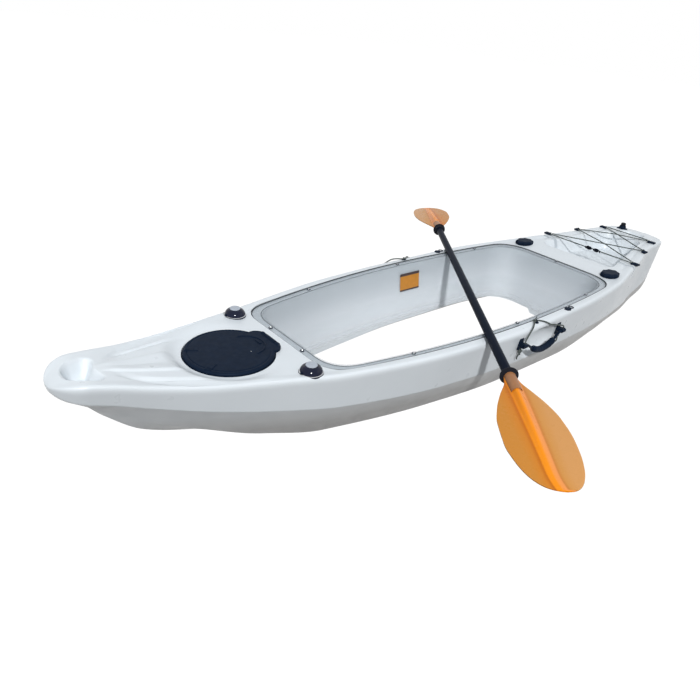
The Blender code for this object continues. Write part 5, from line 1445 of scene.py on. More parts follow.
@dataclass
class DeckSocket:
    """A round accessory socket on the foredeck."""

    form: HullForm
    finishes: Finishes
    side: Side
    x: float = 0.901
    y: float = 0.221
    top: float = 0.026
    base: Profile = ((0.0335, 0.014), (0.0354, 0.009), (0.0358, 0.0062), (0.035, 0.0056), (0.035, 0.0048),
                     (0.038, 0.0044), (0.0385, 0.0036), (0.0385, 0.0004), (0.038, 0.0), (0.0, 0.0),
                     (0.0, 0.006), (0.0165, 0.006))
    crown: Profile = ((0.0165, -0.0006), (0.0172, 0.0), (0.0205, -0.0005), (0.0255, -0.003),
                      (0.03, -0.0068))
    # Trim ring at the socket's foot, widened so its bright steel also stands as a painted highlight above the
    # foot.
    seam: Profile = ((0.0352, 0.0066), (0.0368, 0.0064), (0.0376, 0.0056), (0.0376, 0.0051), (0.0352, 0.0047))
    cap: Profile = ((0.0, 0.004), (0.0125, 0.0042), (0.016, 0.0038), (0.018, 0.0028), (0.0185, 0.0016),
                    (0.0182, 0.0003), (0.0157, 0.0003), (0.0157, -0.014), (0.0, -0.014))
    knob: Profile = ((0, 0.012), (0.0022, 0.012), (0.003, 0.0114), (0.0032, 0.01), (0.0032, 0.0),
                     (0, 0.0))

    def build(self) -> None:
        """Build base, cap and button."""
        word, seat = self.side.word, self.form.deck_seat(self.x, self.side.sign * self.y)
        at = Matrix.Translation(seat)
        over = Matrix.Translation(seat + Vector((0, 0, self.top)))
        base = [(radius, self.top + rise) for radius, rise in self.crown] + list(self.base)
        Shaper.finish(Shaper.turned(base, 72, at, ring=True), f"deck_socket_{word}", self.finishes.gloss,
                      "gloss_black", f"socket_base_{word}", smooth=50.0)
        # Bright steel trim: partly the light seam line, partly a painted highlight above the socket's foot.
        Shaper.finish(Shaper.turned(self.seam, 72, at, ring=True), f"socket_trim_highlight_{word}", self.finishes.steel,
                      "steel")
        Shaper.finish(Shaper.turned(self.cap, 48, over), f"socket_lid_{word}", self.finishes.grey, "grey_cap",
                      f"socket_cap_{word}", Body.SOCKET_CAP.at(self.side))
        beside = Matrix.Translation(seat + Vector((0.02792, 0, 0.01)))
        Shaper.finish(Shaper.turned(self.knob, 24, beside @ ALONG), f"socket_release_{word}",
                      self.finishes.black, "black_plastic", f"socket_button_{word}",
                      Body.SOCKET_BUTTON.at(self.side))


@dataclass
class RodHolder:
    """A tilted flush rod holder and its scalloped cap."""

    form: HullForm
    finishes: Finishes
    side: Side
    bore: float = 0.0215
    rim: float = 0.004
    cap_foot: float = 0.0043
    cap_top: float = 0.0183
    cap_length: float = 0.10696
    cap_width: float = 0.0764
    tube: Profile = ((0.0245, -0.004), (0.0245, -0.153), (0.0, -0.153), (0.0, -0.15), (0.0215, -0.15),
                     (0.0215, -0.004))
    plug: Profile = ((0.0, 0.01), (0.0207, 0.01), (0.0207, -0.015), (0.0197, -0.016), (0.0, -0.016))

    def __post_init__(self) -> None:
        """Set the holder's frame."""
        self.at = self.frame(self.form, self.side)

    @staticmethod
    def frame(form: HullForm, side: Side) -> Matrix:
        """Frame of the holder: +Z up its bore, origin on its seat."""
        tilt = Matrix.Rotation(-side.sign * math.radians(18), 4, "X")
        return Matrix.Translation(form.deck_seat(-0.858, side.sign * 0.245)) @ tilt

    def oval(self, length: float, width: float, z: float, wave: float = 0.0, count: int = 96) -> list[Point]:
        """An oval outline, optionally scalloped.

        Args:
            length: Length along X.
            width: Width along Y.
            z: Height over the seat.
            wave: Height of the scallops as a share.
            count: Points of the outline.

        Returns:
            The ring of points.
        """
        seat = self.at.translation
        ring = []
        for k in range(count):
            a = math.tau * k / count
            swell = 1 + wave * math.cos(8 * a)
            ring.append((seat.x + length / 2 * swell * math.cos(a), seat.y + width / 2 * swell * math.sin(a),
                         seat.z + z))
        return ring

    def build(self) -> None:
        """Build holder and cap."""
        word, seat = self.side.word, self.at.translation
        bore = [self.at @ point for point in circle(Vector(), (self.bore, 0, 0), (0, self.bore, 0), 96)[:-1]]
        slope = self.at.to_3x3() @ Vector((0, 0, 1))
        low, high = ([tuple(p + slope * ((seat.z + z - p.z) / slope.z)) for p in bore]
                     for z in (0.0, self.rim))
        flange = Shaper.stack([low, self.oval(0.112, 0.08, 0.0), self.oval(0.112, 0.08, 0.003),
                               self.oval(0.109, 0.077, 0.004), high], closed=True)
        Shaper.finish(Shaper.merged([flange, Shaper.turned(self.tube, 48, self.at, ring=True)]),
                      f"rod_socket_{word}", self.finishes.black, "black_plastic", f"rod_holder_{word}")
        foot, top = self.cap_foot, self.cap_top
        levels = ((0.98, foot, 0.07), (0.985, foot + 0.003, 0.072), (0.965, foot + 0.008, 0.072),
                  (0.91, foot + 0.0115, 0.068), (0.81, top - 0.001, 0.052), (0.66, top, 0.026),
                  (0.45, top - 0.0006, 0.006), (0.2, top - 0.0012, 0.0))
        cap = Shaper.stack([self.oval(self.cap_length * share, self.cap_width * share, z, wave)
                            for share, z, wave in levels])
        Shaper.finish(Shaper.merged([cap, Shaper.turned(self.plug, 48, self.at)]), f"rod_lid_{word}",
                      self.finishes.black, "black_plastic", f"rod_holder_cap_{word}",
                      Body.ROD_CAP.at(self.side), 50.0)


@dataclass
class SideFittings:
    """Pad eye, carry handle, its lugs and its thin elastic cord on one side."""

    form: HullForm
    finishes: Finishes
    side: Side
    handle_x: float = -0.098
    axis_y: float = 0.403
    axis_z: float = 0.218
    lug_reach: float = 0.13
    drop: float = 0.044
    eye_x: float = -0.303
    eye_y: float = 0.362
    grip_girth: float = 0.0131
    grip_reach: float = 0.0745
    cord_girth: float = 0.0048
    park_x: float = -0.075
    park_y: float = 0.364
    half_bow: Profile = ((0.138, 0.0), (0.116, 0.0), (0.105, 0.1), (0.0905, 0.3), (0.078, 0.5),
                         (0.07, 0.57), (0.0592, 0.7), (0.0407, 0.87), (0.0207, 0.97), (0.0, 1.0))
    rivet: Profile = ((0, 0.001), (0.0012, 0.0012), (0.0024, 0.0006), (0.0026, -0.0002), (0, -0.0002))
    barrel: Profile = ((0.005, 0.011), (0.0086, 0.011), (0.0095, 0.0102), (0.0095, -0.0102),
                       (0.0086, -0.011), (0.005, -0.011))
    eyelet: Profile = ((0, 0.003), (0.0092, 0.003), (0.0102, 0.0024), (0.0105, 0.0), (0, 0))

    def build(self) -> None:
        """Build the side's fittings."""
        self.build_pad_eye()
        self.build_handle()
        for end in (1, -1):
            self.build_lug(end)
        self.build_cord()

    def build_pad_eye(self) -> None:
        """A six-sided pad with two rivets and a wire ring."""
        word, black = self.side.word, self.finishes.black
        seat = self.form.deck_seat(self.eye_x, self.side.sign * self.eye_y)
        shape = bmesh.new()
        bmesh.ops.create_cone(shape, cap_ends=True, segments=6, radius1=0.018, radius2=0.0155, depth=0.005)
        bmesh.ops.scale(shape, vec=(1, 0.834, 1), verts=shape.verts)
        bmesh.ops.translate(shape, vec=seat + Vector((0, 0, 0.0025)), verts=shape.verts)
        bmesh.ops.bevel(shape, geom=shape.verts[:] + shape.edges[:], offset=0.0009, segments=2, profile=0.5,
                        affect="EDGES", material=-1)
        ring = circle(seat + Vector((-0.023225, 0, 0.0045)), (0.0095, 0, 0), (0, 0.0095, 0), 40)
        Shaper.finish(Shaper.merged([shape, Shaper.swept(ring, 0.0018, 10)]), f"deck_eye_{word}", black,
                      "black_plastic", f"pad_eye_{word}")
        for step, name in ((-0.0085, "aft"), (0.0085, "fore")):
            at = Matrix.Translation(seat + Vector((step, 0, 0.005)))
            Shaper.finish(Shaper.turned(self.rivet, 16, at), f"eye_rivet_{word}_{name}", black,
                          "black_plastic")

    def build_handle(self) -> None:
        """The swinging handle: a fat ribbed grip on a bowed cord between the lugs."""
        sign = self.side.sign
        axis = Vector((self.handle_x, sign * self.axis_y, self.axis_z))
        bow = list(self.half_bow) + [(-x, share) for x, share in reversed(self.half_bow[:-1])]
        line = eased([axis + Vector((x, sign * 0.003 * share, -self.drop * share)) for x, share in bow], 6)
        cord = Shaper.swept(line, self.cord_girth, 12)
        grip_line = [p for p in line if abs(p.x - axis.x) < self.grip_reach]
        ribs = len(grip_line) * 0.45

        def girth(share: float) -> float:
            """Radius of the grip at a share of its length."""
            end = min(1.0, 8.0 * min(share, 1 - share) + 0.55)
            return self.grip_girth * end * (1 - 0.05 * abs(math.sin(share * ribs)))

        grip = Shaper.swept(grip_line, girth, 20)
        Shaper.finish(Shaper.merged([cord, grip]), f"side_handle_{self.side.word}", self.finishes.black,
                      "black_plastic", f"carry_handle_{self.side.word}", Body.HANDLE.at(self.side), 50.0)

    def build_lug(self, end: int) -> None:
        """A lug: base plate, neck, bored barrel, and the knot with its tails below.

        Args:
            end: 1 for the fore lug, -1 for the aft lug.
        """
        sign, name = self.side.sign, f"{self.side.word}_{'fore' if end > 0 else 'aft'}"
        x, z = self.handle_x + end * self.lug_reach, self.axis_z
        face = min(self.form.side_at(x, height) for height in (0.194, 0.242)) + 0.0018
        depth = self.axis_y - face - 0.001
        neck = place(x, sign * (face + depth / 2 + 0.001), z)
        lug = [Shaper.block((0.026, 0.006, 0.048), place(x, sign * (face + 0.003), z), 0.0018),
               Shaper.block((0.0214, depth, 0.014), neck, 0.0015, 2),
               Shaper.turned(self.barrel, 40, place(x, sign * self.axis_y, z) @ ALONG, ring=True)]
        Shaper.finish(Shaper.merged(lug), f"handle_mount_{name}", self.finishes.black, "black_plastic",
                      f"handle_lug_{name}")
        at = Vector((x, sign * (face + 0.0085), 0.19))
        turns = [at + Vector((0.0062 * math.cos(a), sign * 0.0048 * math.sin(a), 0.0045 - 0.0014 * a))
                 for a in (math.tau * k / 16 for k in range(18))]
        tails = [eased([at, at + Vector((end * 0.003, sign * 0.001, -0.01)),
                        at + Vector((end * 0.009, -sign * 0.0005, -0.024)),
                        at + Vector((end * 0.006, -sign * 0.0015, -0.034))], 5),
                 eased([at, at + Vector((-end * 0.003, sign * 0.0005, -0.008)),
                        at + Vector((-end * 0.006, -sign * 0.001, -0.018))], 5)]
        knot = [Shaper.ball((0.0092, 0.0072, 0.0088), at), Shaper.swept(turns, 0.0032, 10)]
        knot += [Shaper.swept(tail, 0.0026, 10) for tail in tails]
        Shaper.finish(Shaper.merged(knot), f"handle_knot_{name}", self.finishes.cord, "elastic_cord",
                      smooth=60.0)

    def build_cord(self) -> None:
        """The thin elastic cord through its eyelet, with a knot and loose ends beside it."""
        sign, word, cord = self.side.sign, self.side.word, self.finishes.cord
        eye = self.form.deck_seat(self.park_x, sign * self.park_y)
        centre = eye + Vector((0, 0, 0.00664))
        ring = circle(centre, (0, 0.0052, 0), (0, 0, 0.0052), 32)
        pad = Shaper.turned(self.eyelet, 40, Matrix.Translation(eye))
        Shaper.finish(Shaper.merged([pad, Shaper.swept(ring, 0.0016, 10)]), f"cord_eyelet_{word}",
                      self.finishes.black, "black_plastic", f"park_eye_{word}")
        fore, aft, top, z = 0.032, -0.228, 0.2278, centre.z
        guide = [(fore, 0.403, top), (fore, 0.403, top + 0.01), (fore - 0.008, 0.4015, top + 0.022),
                 (fore - 0.026, 0.397, top + 0.034), (fore - 0.052, 0.389, z - 0.004),
                 (fore - 0.078, 0.375, z), (-0.065, 0.364, z), (-0.085, 0.364, z), (-0.1, 0.375, z - 0.001),
                 (-0.117, 0.386, z - 0.006), (-0.137, 0.3925, z - 0.016), (-0.165, 0.3945, z - 0.024),
                 (aft + 0.026, 0.3975, top + 0.017), (aft + 0.006, 0.402, top + 0.013),
                 (aft, 0.403, top + 0.006), (aft, 0.403, top)]
        line = eased([(x, sign * y, height) for x, y, height in guide], 5)
        Shaper.finish(Shaper.swept(line, 0.0027, 12), f"handle_cord_{word}", cord, "elastic_cord",
                      f"park_cord_{word}", smooth=60.0)
        at = centre + Vector((0.004, -sign * 0.004, 0.002))
        loose = [eased([at, at + Vector((-0.008, -sign * 0.003, 0.004)),
                        at + Vector((-0.018, -sign * 0.006, 0.009))], 5),
                 eased([at, at + Vector((0.006, -sign * 0.004, 0.001)),
                        at + Vector((0.012, -sign * 0.005, -0.0025))], 5)]
        knot = [Shaper.ball((0.0066, 0.006, 0.0052), at)] + [Shaper.swept(end, 0.0019, 10) for end in loose]
        Shaper.finish(Shaper.merged(knot), f"eyelet_knot_{word}", cord, "elastic_cord", smooth=60.0)


@dataclass
class SternLacing:
    """The laced cord over the tank well, its six anchors and the connector."""

    form: HullForm
    finishes: Finishes
    anchors: tuple[Point, ...] = ((-1.087, 0.238, 0.036), (-1.287, 0.192, 0.02), (-1.48, 0.128, 0.036))
    eye_height: float = 0.0085
    eye_radius: float = 0.0062
    wire: float = 0.0018
    cord: float = 0.0026
    past_eye: float = 0.011
    hump: float = 0.0075

    def eye(self, row: int, sign: int) -> Vector:
        """Middle of an anchor's ring."""
        x, y, _ = self.anchors[row]
        return self.form.deck_seat(x, sign * y) + Vector((0, 0, self.eye_height))

    def build(self) -> None:
        """Build anchors, lace and connector."""
        for number, (sign, row) in enumerate(((sign, row) for sign in (1, -1) for row in range(3)), 1):
            self.build_anchor(number, row, sign)
        self.build_lace()
        self.build_connector()

    def build_anchor(self, number: int, row: int, sign: int) -> None:
        """A rounded pad with a ring, which is a loop of pale webbing on the long ones.

        Args:
            number: Number of the anchor.
            row: Row from the fore end.
            sign: 1 for port, -1 for starboard.
        """
        x, y, length = self.anchors[row]
        seat = self.form.deck_seat(x, y).z
        middle = y + length / 2 - 0.0058
        pad = place(x, sign * (middle + 0.003), seat + 0.005)
        shapes = [Shaper.block((0.029, length + 0.004, 0.01), pad, 0.0048, 4)]
        radius = self.eye_radius
        ring = circle(self.eye(row, sign), (0, radius, 0), (0, 0, radius), 32)
        if length > 0.03:
            rib = place(x, sign * (middle + 0.004), seat + 0.0102)
            shapes.append(Shaper.block((0.0062, length * 0.72, 0.0026), rib, 0.0011, 2))
            Shaper.finish(Shaper.swept(ring, 0.0019, 12), f"anchor_loop_{number}", self.finishes.webbing,
                          "elastic_cord", smooth=60.0)
        else:
            shapes.append(Shaper.swept(ring, self.wire, 12))
        Shaper.finish(Shaper.merged(shapes), f"cord_anchor_{number}", self.finishes.black, "black_plastic",
                      f"deck_anchor_{number}")

    def turn(self, row: int, sign: int, back: bool) -> list[Vector]:
        """Points of the cord through an anchor's ring.

        Args:
            row: Row from the fore end.
            sign: 1 for port, -1 for starboard.
            back: Whether the cord runs towards the bow.

        Returns:
            The points in running order.
        """
        seated = self.eye_radius - self.wire - self.cord - 0.0003
        half = ((self.past_eye, 0.0125), (0.0085, 0.005), (0.0035, seated))
        route = half + tuple((-along, inward) for along, inward in reversed(half))
        points = [self.eye(row, sign) + Vector((along, -sign * inward, 0)) for along, inward in route]
        return points[::-1] if back else points

    @staticmethod
    def strand(start: Vector, end: Vector, hump: float) -> list[Vector]:
        """Middle points of a strand, lifted where it crosses another."""
        return [start.lerp(end, share) + Vector((0, 0, hump * lift))
                for share, lift in ((0.3, 0.55), (0.5, 1.0), (0.7, 0.55))]

    def joint(self) -> Vector:
        """Middle of the connector between the cord's two ends."""
        eye = self.eye(0, 1)
        return Vector((eye.x + self.past_eye, 0.022, eye.z))

    def build_lace(self) -> None:
        """The one cord, from the connector through all six anchors and back to it."""
        star = [self.eye(row, -1) for row in range(3)]
        port = [self.eye(row, 1) for row in range(3)]
        lace = [self.joint() + Vector((0, -0.024, 0)), star[0] + Vector((self.past_eye, 0.02, 0))]
        lace += self.turn(0, -1, False) + self.strand(star[0], port[1], 0.0) + self.turn(1, 1, False)
        lace += self.strand(port[1], star[2], 0.0) + self.turn(2, -1, False) + self.turn(2, 1, True)
        lace += self.strand(port[2], star[1], self.hump) + self.turn(1, -1, True)
        lace += self.strand(star[1], port[0], self.hump) + self.turn(0, 1, True)
        lace += [port[0] + Vector((self.past_eye, -0.02, 0)), self.joint() + Vector((0, 0.024, 0))]
        dense: list[Vector] = []
        for a, b in zip(lace, lace[1:]):
            steps = max(1, round((b - a).length / 0.012))
            dense += [a.lerp(b, k / steps) for k in range(steps)]
        dense.append(lace[-1])
        Shaper.finish(Shaper.swept(dense, self.cord, 12), "stern_lace", self.finishes.cord, "elastic_cord",
                      "deck_cord", smooth=60.0)

    def build_connector(self) -> None:
        """The two hooked sleeves that join the cord's ends, and the ends' short tails."""
        middle = self.joint()
        across = Matrix.Translation(middle) @ ACROSS
        shapes = []
        for end in (1, -1):
            sleeve = ((0.0029, 0.034), (0.006, 0.034), (0.009, 0.028), (0.009, 0.016), (0.0066, 0.01),
                      (0.004, 0.0065), (0.0, 0.0065), (0.0, 0.01), (0.0029, 0.012))
            shapes.append(Shaper.turned([(radius, along * end) for radius, along in sleeve], 24, across))
            hook = [Vector((0.0028 * math.cos(a) * end, 0.0028 * math.sin(a), end * (0.0045 - 0.0019 * a)))
                    for a in (math.radians(20 * k) for k in range(16))]
            shapes.append(Shaper.swept([across @ p for p in hook], 0.0016, 10))
        for y in (-0.02, 0.06):
            tail = [middle + Vector((0.004, y - 0.02, 0.002)), middle + Vector((0.008, y - 0.016, 0.004)),
                    middle + Vector((0.015, y - 0.01, -0.002))]
            shapes.append(Shaper.swept(eased(tail, 5), self.cord, 8))
        Shaper.finish(Shaper.merged(shapes), "lace_connector", self.finishes.deep_black, "black_plastic",
                      "cord_connector")


@dataclass
class DrainPlug:
    """The screw-in drain plug on the stern deck."""

    form: HullForm
    finishes: Finishes
    x: float = -1.598
    y: float = -0.088
    ribs: int = 14
    neck: Profile = ((0.0088, 0.02), (0.015, 0.02), (0.0162, 0.019), (0.019, 0.01), (0.0205, 0.0052),
                     (0.023, 0.0036), (0.0278, 0.003), (0.029, 0.0018), (0.029, 0.0), (0.0125, 0.0),
                     (0.0125, -0.018), (0.0088, -0.018))
    knob: Profile = ((0.0, 0.0318), (0.007, 0.0318), (0.0082, 0.0334), (0.0108, 0.034), (0.0125, 0.0322),
                     (0.0125, 0.0203), (0.0082, 0.0203), (0.0082, -0.012), (0.0, -0.012))

    def build(self) -> None:
        """Build the flanged body and the turning knob."""
        at = Matrix.Translation(self.form.deck_seat(self.x, self.y))
        Shaper.finish(Shaper.turned(self.neck, 56, at, ring=True), "plug_body", self.finishes.black,
                      "black_plastic", "drain_plug_body")
        turns = [at @ Matrix.Rotation(math.tau * k / self.ribs, 4, "Z") for k in range(self.ribs)]
        knob = [Shaper.turned(self.knob, 48, at)]
        knob += [Shaper.block((0.0016, 0.0022, 0.011), turn @ place(0.0126, 0, 0.0262), 0.0004, 1)
                 for turn in turns]
        Shaper.finish(Shaper.merged(knob), "plug_knob", self.finishes.rubber, "black_plastic",
                      "drain_plug_knob", Body.PLUG.value)


@dataclass
class Paddle:
    """The two-part paddle that lies across the cockpit."""

    finishes: Finishes
    port_over: Point = (0.23, 0.381, 0.2914)
    starboard_over: Point = (-0.345, -0.33, 0.2939)
    middle_from_port: float = 0.488
    ring_from_middle: float = 0.731
    past_ring: float = 0.075
    radius: float = 0.016
    bore: float = 0.0145
    play: float = 0.0003
    roll: float = math.radians(10)
    droop: float = 0.11
    plate: float = 0.0034
    blade_start: float = 0.01
    blade_length: float = 0.489
    rows: int = 72
    columns: int = 56
    blade_offsets: tuple[Point, ...] = (
        (0.01, 0.0195, 0.0195), (0.04, 0.025, 0.023), (0.1, 0.052, 0.045), (0.167, 0.077, 0.07),
        (0.235, 0.0915, 0.087), (0.32, 0.0935, 0.0945), (0.38, 0.083, 0.092), (0.432, 0.065, 0.084),
        (0.468, 0.041, 0.072), (0.486, 0.018, 0.06), (0.496, -0.008, 0.046), (0.499, -0.022, 0.036))
    ferrule: Profile = ((0.0122, 0.075), (0.0142, 0.075), (0.0142, -0.075), (0.0122, -0.075))
    drip_ring: Profile = ((0.0163, 0.018), (0.0182, 0.018), (0.0194, 0.0172), (0.0205, 0.014),
                          (0.0262, 0.0125), (0.03, 0.0118), (0.0305, 0.0106), (0.0303, 0.008),
                          (0.029, 0.0066), (0.024, 0.0062), (0.0205, 0.0045), (0.0192, 0.0008),
                          (0.0182, 0.0), (0.0163, 0.0))

    def __post_init__(self) -> None:
        """Set the paddle's frame: origin at its middle, +X to the port blade."""
        port, starboard = Vector(self.port_over), Vector(self.starboard_over)
        along = (port - starboard).normalized()
        across = Vector((0, 0, 1)).cross(along).normalized()
        frame_matrix = Matrix((along, across, along.cross(across))).transposed().to_4x4()
        frame_matrix.translation = port - along * self.middle_from_port
        self.frame = frame_matrix @ Matrix.Rotation(self.roll, 4, "X")

    def build(self) -> None:
        """Build both halves and the ferrule."""
        for side in SIDES:
            turn = self.frame @ Matrix.Rotation(0.0 if side.sign > 0 else math.pi, 4, "Z")
            self.build_tube(turn, side)
            self.build_blade(turn, side)
        Shaper.finish(Shaper.turned(self.ferrule, 48, self.frame @ ALONG, ring=True), "shaft_joiner",
                      self.finishes.steel, "steel", "paddle_ferrule", Body.PADDLE.value)

    @staticmethod
    def body(side: Side) -> str:
        """Name of the body that one half rides on."""
        return (Body.PADDLE_PORT if side.sign > 0 else Body.PADDLE).value

    def build_tube(self, turn: Matrix, side: Side) -> None:
        """One half of the shaft, with a slight joint edge at the middle, and its cupped drip ring.

        Args:
            turn: Frame of the paddle's half, +X to its blade.
            side: Side of the half.
        """
        word, body = side.word, self.body(side)
        length, r = self.ring_from_middle + self.past_ring, self.radius
        profile = [(self.bore, length), (r - 0.0004, length), (r, length - 0.0006), (r, 0.0012),
                   (r - 0.0005, 0.0003), (self.bore, 0.0003)]
        Shaper.finish(Shaper.turned(profile, 56, turn @ ALONG, ring=True), f"shaft_{word}",
                      self.finishes.shaft, "shaft_coating", f"paddle_shaft_{word}", body, 20.0)
        at = turn @ place(self.ring_from_middle - 0.009, 0, 0) @ ALONG
        Shaper.finish(Shaper.turned(self.drip_ring, 64, at, ring=True), f"drip_collar_{word}",
                      self.finishes.rubber, "rubber", f"drip_ring_{word}", body)

    def blade_point(self, x: float, share: float, low: float, high: float) -> tuple[Point, float]:
        """A point of the blade's plate before it gets its thickness.

        Args:
            x: Distance from the drip ring's place.
            share: Place across the blade, -1 to 1.
            low: Reach of the blade's low edge.
            high: Reach of its high edge.

        Returns:
            The point in the paddle's frame, and its place on the colour ramp.
        """
        middle = max(0.0, -low) + 0.35 * fade(x, 0.43, 0.499) * (high - low) / 2
        y = middle + share * (high - middle if share > 0 else low + middle)
        spine = 0.0185 * (1 - x) + 0.001
        lift = 0.014 * (1 - fade(x, 0.05, 0.485)) * (1 - fade(abs(y - middle) / spine, 0.15, 1.15))
        edge = 0.0012 * (1 - fade(1 - abs(share), 0.0, 0.06))
        # Place on the blade's ramp, which paints the spine's highlight and shade.
        tone = 0.5 + (y - middle) / (spine + 0.004) / 6.0
        point = (self.ring_from_middle + x, y, -self.droop * x * x + lift - edge * 0.4)
        return point, min(1.0, max(0.0, tone))

    def build_blade(self, turn: Matrix, side: Side) -> None:
        """A spined, drooping blade and the socket that holds the shaft's end.

        Args:
            turn: Frame of the paddle's half, +X to its blade.
            side: Side of the half.
        """
        knots = [row[0] for row in self.blade_offsets]
        low, high = (Curve1D(knots, [row[i] for row in self.blade_offsets]) for i in (1, 2))
        shape = bmesh.new()
        layer = shape.loops.layers.uv.new("across")
        bmesh.ops.create_grid(shape, x_segments=self.rows, y_segments=self.columns, size=1.0)
        tones = {}
        for vert in shape.verts:
            row = round((vert.co.x + 1) / 2 * self.rows)
            x = self.blade_start + self.blade_length * math.sin(QUARTER * row / self.rows)
            vert.co, tones[vert] = self.blade_point(x, vert.co.y, low(x), high(x))
        for face in shape.faces:
            for corner in face.loops:
                corner[layer].uv = (tones[corner.vert], 0.5)
        bmesh.ops.solidify(shape, geom=shape.faces, thickness=self.plate)
        bmesh.ops.translate(shape, vec=(0, 0, self.plate / 2), verts=shape.verts)
        inner = self.radius + self.play
        for face in [f for f in shape.faces if self.inside_bore(f.calc_center_median(), inner)]:
            shape.faces.remove(face)
        bmesh.ops.delete(shape, geom=[e for e in shape.edges if not e.link_faces], context="EDGES")
        sleeve_at = place(self.ring_from_middle + 0.0093, 0, 0)
        profile = [(inner, 0.088), (0.017, 0.088), (0.0178, 0.084), (0.0193, 0.0), (inner, 0.0)]
        sleeve = Shaper.turned(profile, 56, sleeve_at @ ALONG, ring=True)
        for face in sleeve.faces:
            face.material_index = 1
        whole = Shaper.merged([shape, sleeve])
        bmesh.ops.transform(whole, matrix=turn, verts=whole.verts)
        blade = Shaper.linked(whole, f"blade_{side.word}")
        blade.data.materials.append(self.finishes.blade.material)
        blade.data.materials.append(self.finishes.sleeve.material)
        Shaper.dress(blade, self.finishes.blade, "blade_plastic", self.body(side), 45.0)
        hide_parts(f"paddle_blade_{side.word}")

    def inside_bore(self, point: Vector, inner: float) -> bool:
        """Whether a point of the blade lies inside the shaft's room."""
        end = self.ring_from_middle + self.past_ring
        return point.x < end and math.hypot(point.y, point.z) < inner + 0.001


@dataclass(frozen=True)
class Lamp:
    """A round area light that points at the boat."""

    name: str
    place: Point
    size: float
    power: float


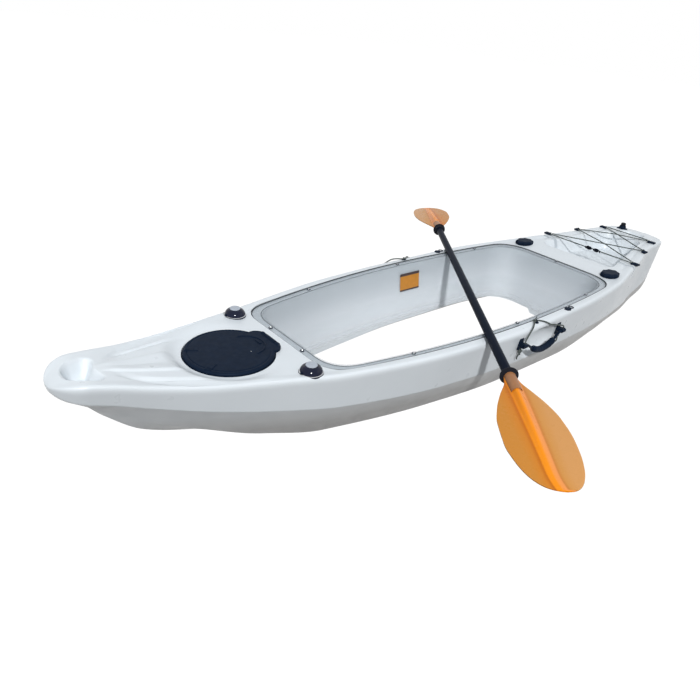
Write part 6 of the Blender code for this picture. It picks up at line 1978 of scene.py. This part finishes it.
@dataclass
class Studio:
    """White floor and backdrop, soft light and the camera."""

    lamps: tuple[Lamp, ...] = (Lamp("key", (5.4, 6.7, 7.3), 0.6, 930.0),
                               Lamp("fill", (-3.0, 3.0, 3.2), 3.0, 12.0),
                               Lamp("far_fill", (0.0, -4.0, 3.0), 3.0, 10.0))
    aim: Point = (0.0, 0.0, 0.1)
    sky_side: Point = (0.17, 0.185, 0.2)
    sky_above: Point = (0.74, 0.78, 0.82)
    sky_strength: float = 0.62
    floor_base: float = 0.02
    floor_glow: float = 1.14
    floor_share: float = 0.93
    under_size: tuple[float, float] = (1.14, 0.4)
    under_power: float = 1.2

    def build(self) -> None:
        """Build the studio."""
        scene = bpy.context.scene
        scene.view_settings.view_transform = "Standard"
        self.build_world(scene)
        self.build_floor()
        self.build_lights()
        self.build_camera(scene)

    @staticmethod
    def pale_where_seen(tree: bpy.types.NodeTree) -> Socket:
        """Light Path rays that show the background as white.

        Args:
            tree: The node tree that gets the nodes.

        Returns:
            1 for camera, glossy and transmission rays.
        """
        rays = tree.nodes.new("ShaderNodeLightPath")
        total = rays.outputs["Is Camera Ray"]
        for name in ("Is Glossy Ray", "Is Transmission Ray"):
            node = tree.nodes.new("ShaderNodeMath")
            node.operation = "MAXIMUM"
            tree.links.new(total, node.inputs[0])
            tree.links.new(rays.outputs[name], node.inputs[1])
            total = node.outputs["Value"]
        return total

    def build_world(self, scene: bpy.types.Scene) -> None:
        """A sky that shows as white and lights gently, more from above than from the side."""
        world = bpy.data.worlds.new("studio")
        scene.world = world
        world.use_nodes = True
        tree = world.node_tree
        tree.nodes.clear()
        add, link = tree.nodes.new, tree.links.new
        out = add("ShaderNodeOutputWorld")
        mix = add("ShaderNodeMixShader")
        dim = add("ShaderNodeBackground")
        dim.inputs["Strength"].default_value = self.sky_strength
        direction = add("ShaderNodeTexCoord")
        split = add("ShaderNodeSeparateXYZ")
        ramp = add("ShaderNodeValToRGB")
        ramp.color_ramp.elements[0].color = (*self.sky_side, 1.0)
        ramp.color_ramp.elements[1].position = 0.75
        ramp.color_ramp.elements[1].color = (*self.sky_above, 1.0)
        link(direction.outputs["Generated"], split.inputs["Vector"])
        link(split.outputs["Z"], ramp.inputs["Fac"])
        link(ramp.outputs["Color"], dim.inputs["Color"])
        white = add("ShaderNodeBackground")
        white.inputs["Color"].default_value = (1.0, 1.0, 1.0, 1.0)
        white.inputs["Strength"].default_value = 1.0
        link(self.pale_where_seen(tree), mix.inputs["Fac"])
        link(dim.outputs["Background"], mix.inputs[1])
        link(white.outputs["Background"], mix.inputs[2])
        link(mix.outputs["Shader"], out.inputs["Surface"])

    def build_floor(self) -> None:
        """A wide pale floor that shows nearly white and takes a soft shadow."""
        shape = bmesh.new()
        bmesh.ops.create_grid(shape, x_segments=1, y_segments=1, size=30.0)
        floor = Shaper.linked(shape, "floor")
        floor.location.z = -0.002
        material = bpy.data.materials.new("floor")
        material.use_nodes = True
        tree = material.node_tree
        add, link = tree.nodes.new, tree.links.new
        shader = tree.nodes["Principled BSDF"]
        shader.inputs["Base Color"].default_value = (*(self.floor_base,) * 3, 1.0)
        shader.inputs["Roughness"].default_value = 0.9
        out = tree.nodes["Material Output"]
        glow = add("ShaderNodeEmission")
        glow.inputs["Strength"].default_value = self.floor_glow
        mix = add("ShaderNodeMixShader")
        share = add("ShaderNodeMath")
        share.operation = "MULTIPLY"
        share.inputs[1].default_value = self.floor_share
        link(self.pale_where_seen(tree), share.inputs[0])
        link(share.outputs["Value"], mix.inputs["Fac"])
        link(shader.outputs["BSDF"], mix.inputs[1])
        link(glow.outputs["Emission"], mix.inputs[2])
        link(mix.outputs["Shader"], out.inputs["Surface"])
        floor.data.materials.append(material)

    @staticmethod
    def lamp(name: str, shape: str, power: float, where: Point) -> bpy.types.Object:
        """An area light in the scene.

        Args:
            name: Name of the light.
            shape: Its outline, DISK or ELLIPSE.
            power: Its power in watts.
            where: Its place.

        Returns:
            The light's object.
        """
        light = bpy.data.lights.new(name, "AREA")
        light.shape = shape
        light.energy = power
        item = bpy.data.objects.new(name, light)
        item.location = where
        bpy.context.scene.collection.objects.link(item)
        return item

    def build_lights(self) -> None:
        """A soft key from the port bow, two weak fills, and the pale ground's glow under the clear floor."""
        for lamp in self.lamps:
            item = self.lamp(lamp.name, "DISK", lamp.power, lamp.place)
            item.data.size = lamp.size
            item.rotation_euler = (Vector(self.aim) - Vector(lamp.place)).to_track_quat("-Z", "Y").to_euler()
        item = self.lamp("ground_glow", "ELLIPSE", self.under_power, (0.03, 0.0, -0.001))
        item.data.size, item.data.size_y = self.under_size
        item.rotation_euler = (math.pi, 0, 0)
        item.visible_camera = item.visible_glossy = item.visible_transmission = False

    @staticmethod
    def build_camera(scene: bpy.types.Scene) -> None:
        """The camera at the photograph's place and angle."""
        right = Vector((-0.76065, 0.64163, 0.09862))
        up = Vector((-0.24812, -0.42774, 0.86918))
        back = Vector((0.59988, 0.63667, 0.48456))
        data = bpy.data.cameras.new("camera")
        data.sensor_width = 36.0
        data.lens = 30.645
        item = bpy.data.objects.new("camera", data)
        turn = Matrix((right, up, back)).transposed().to_4x4()
        turn.translation = Vector((1.8723, 1.4108, 1.2223))
        item.matrix_world = turn
        scene.collection.objects.link(item)
        scene.camera = item


def main() -> None:
    """Build the studio, the boat and its paddle, and report each part."""
    logging.basicConfig(level=logging.INFO, format="%(message)s")
    finishes = Finishes()
    form, cockpit = HullForm(), CockpitForm()
    parts: list[tuple[str, object]] = [("studio", Studio()), ("hull", HullShell(form, cockpit, finishes)),
                                       ("tub", CockpitTub(cockpit, finishes)), ("hatch", BowHatch(finishes))]
    for side in SIDES:
        parts.append((f"deck socket, {side.word}", DeckSocket(form, finishes, side)))
        parts.append((f"rod holder, {side.word}", RodHolder(form, finishes, side)))
        parts.append((f"side fittings, {side.word}", SideFittings(form, finishes, side)))
    parts += [("stern lacing", SternLacing(form, finishes)), ("drain plug", DrainPlug(form, finishes)),
              ("paddle", Paddle(finishes))]
    for name, part in parts:
        part.build()
        log.info("built %s", name)


if __name__ == "__main__":
    main()
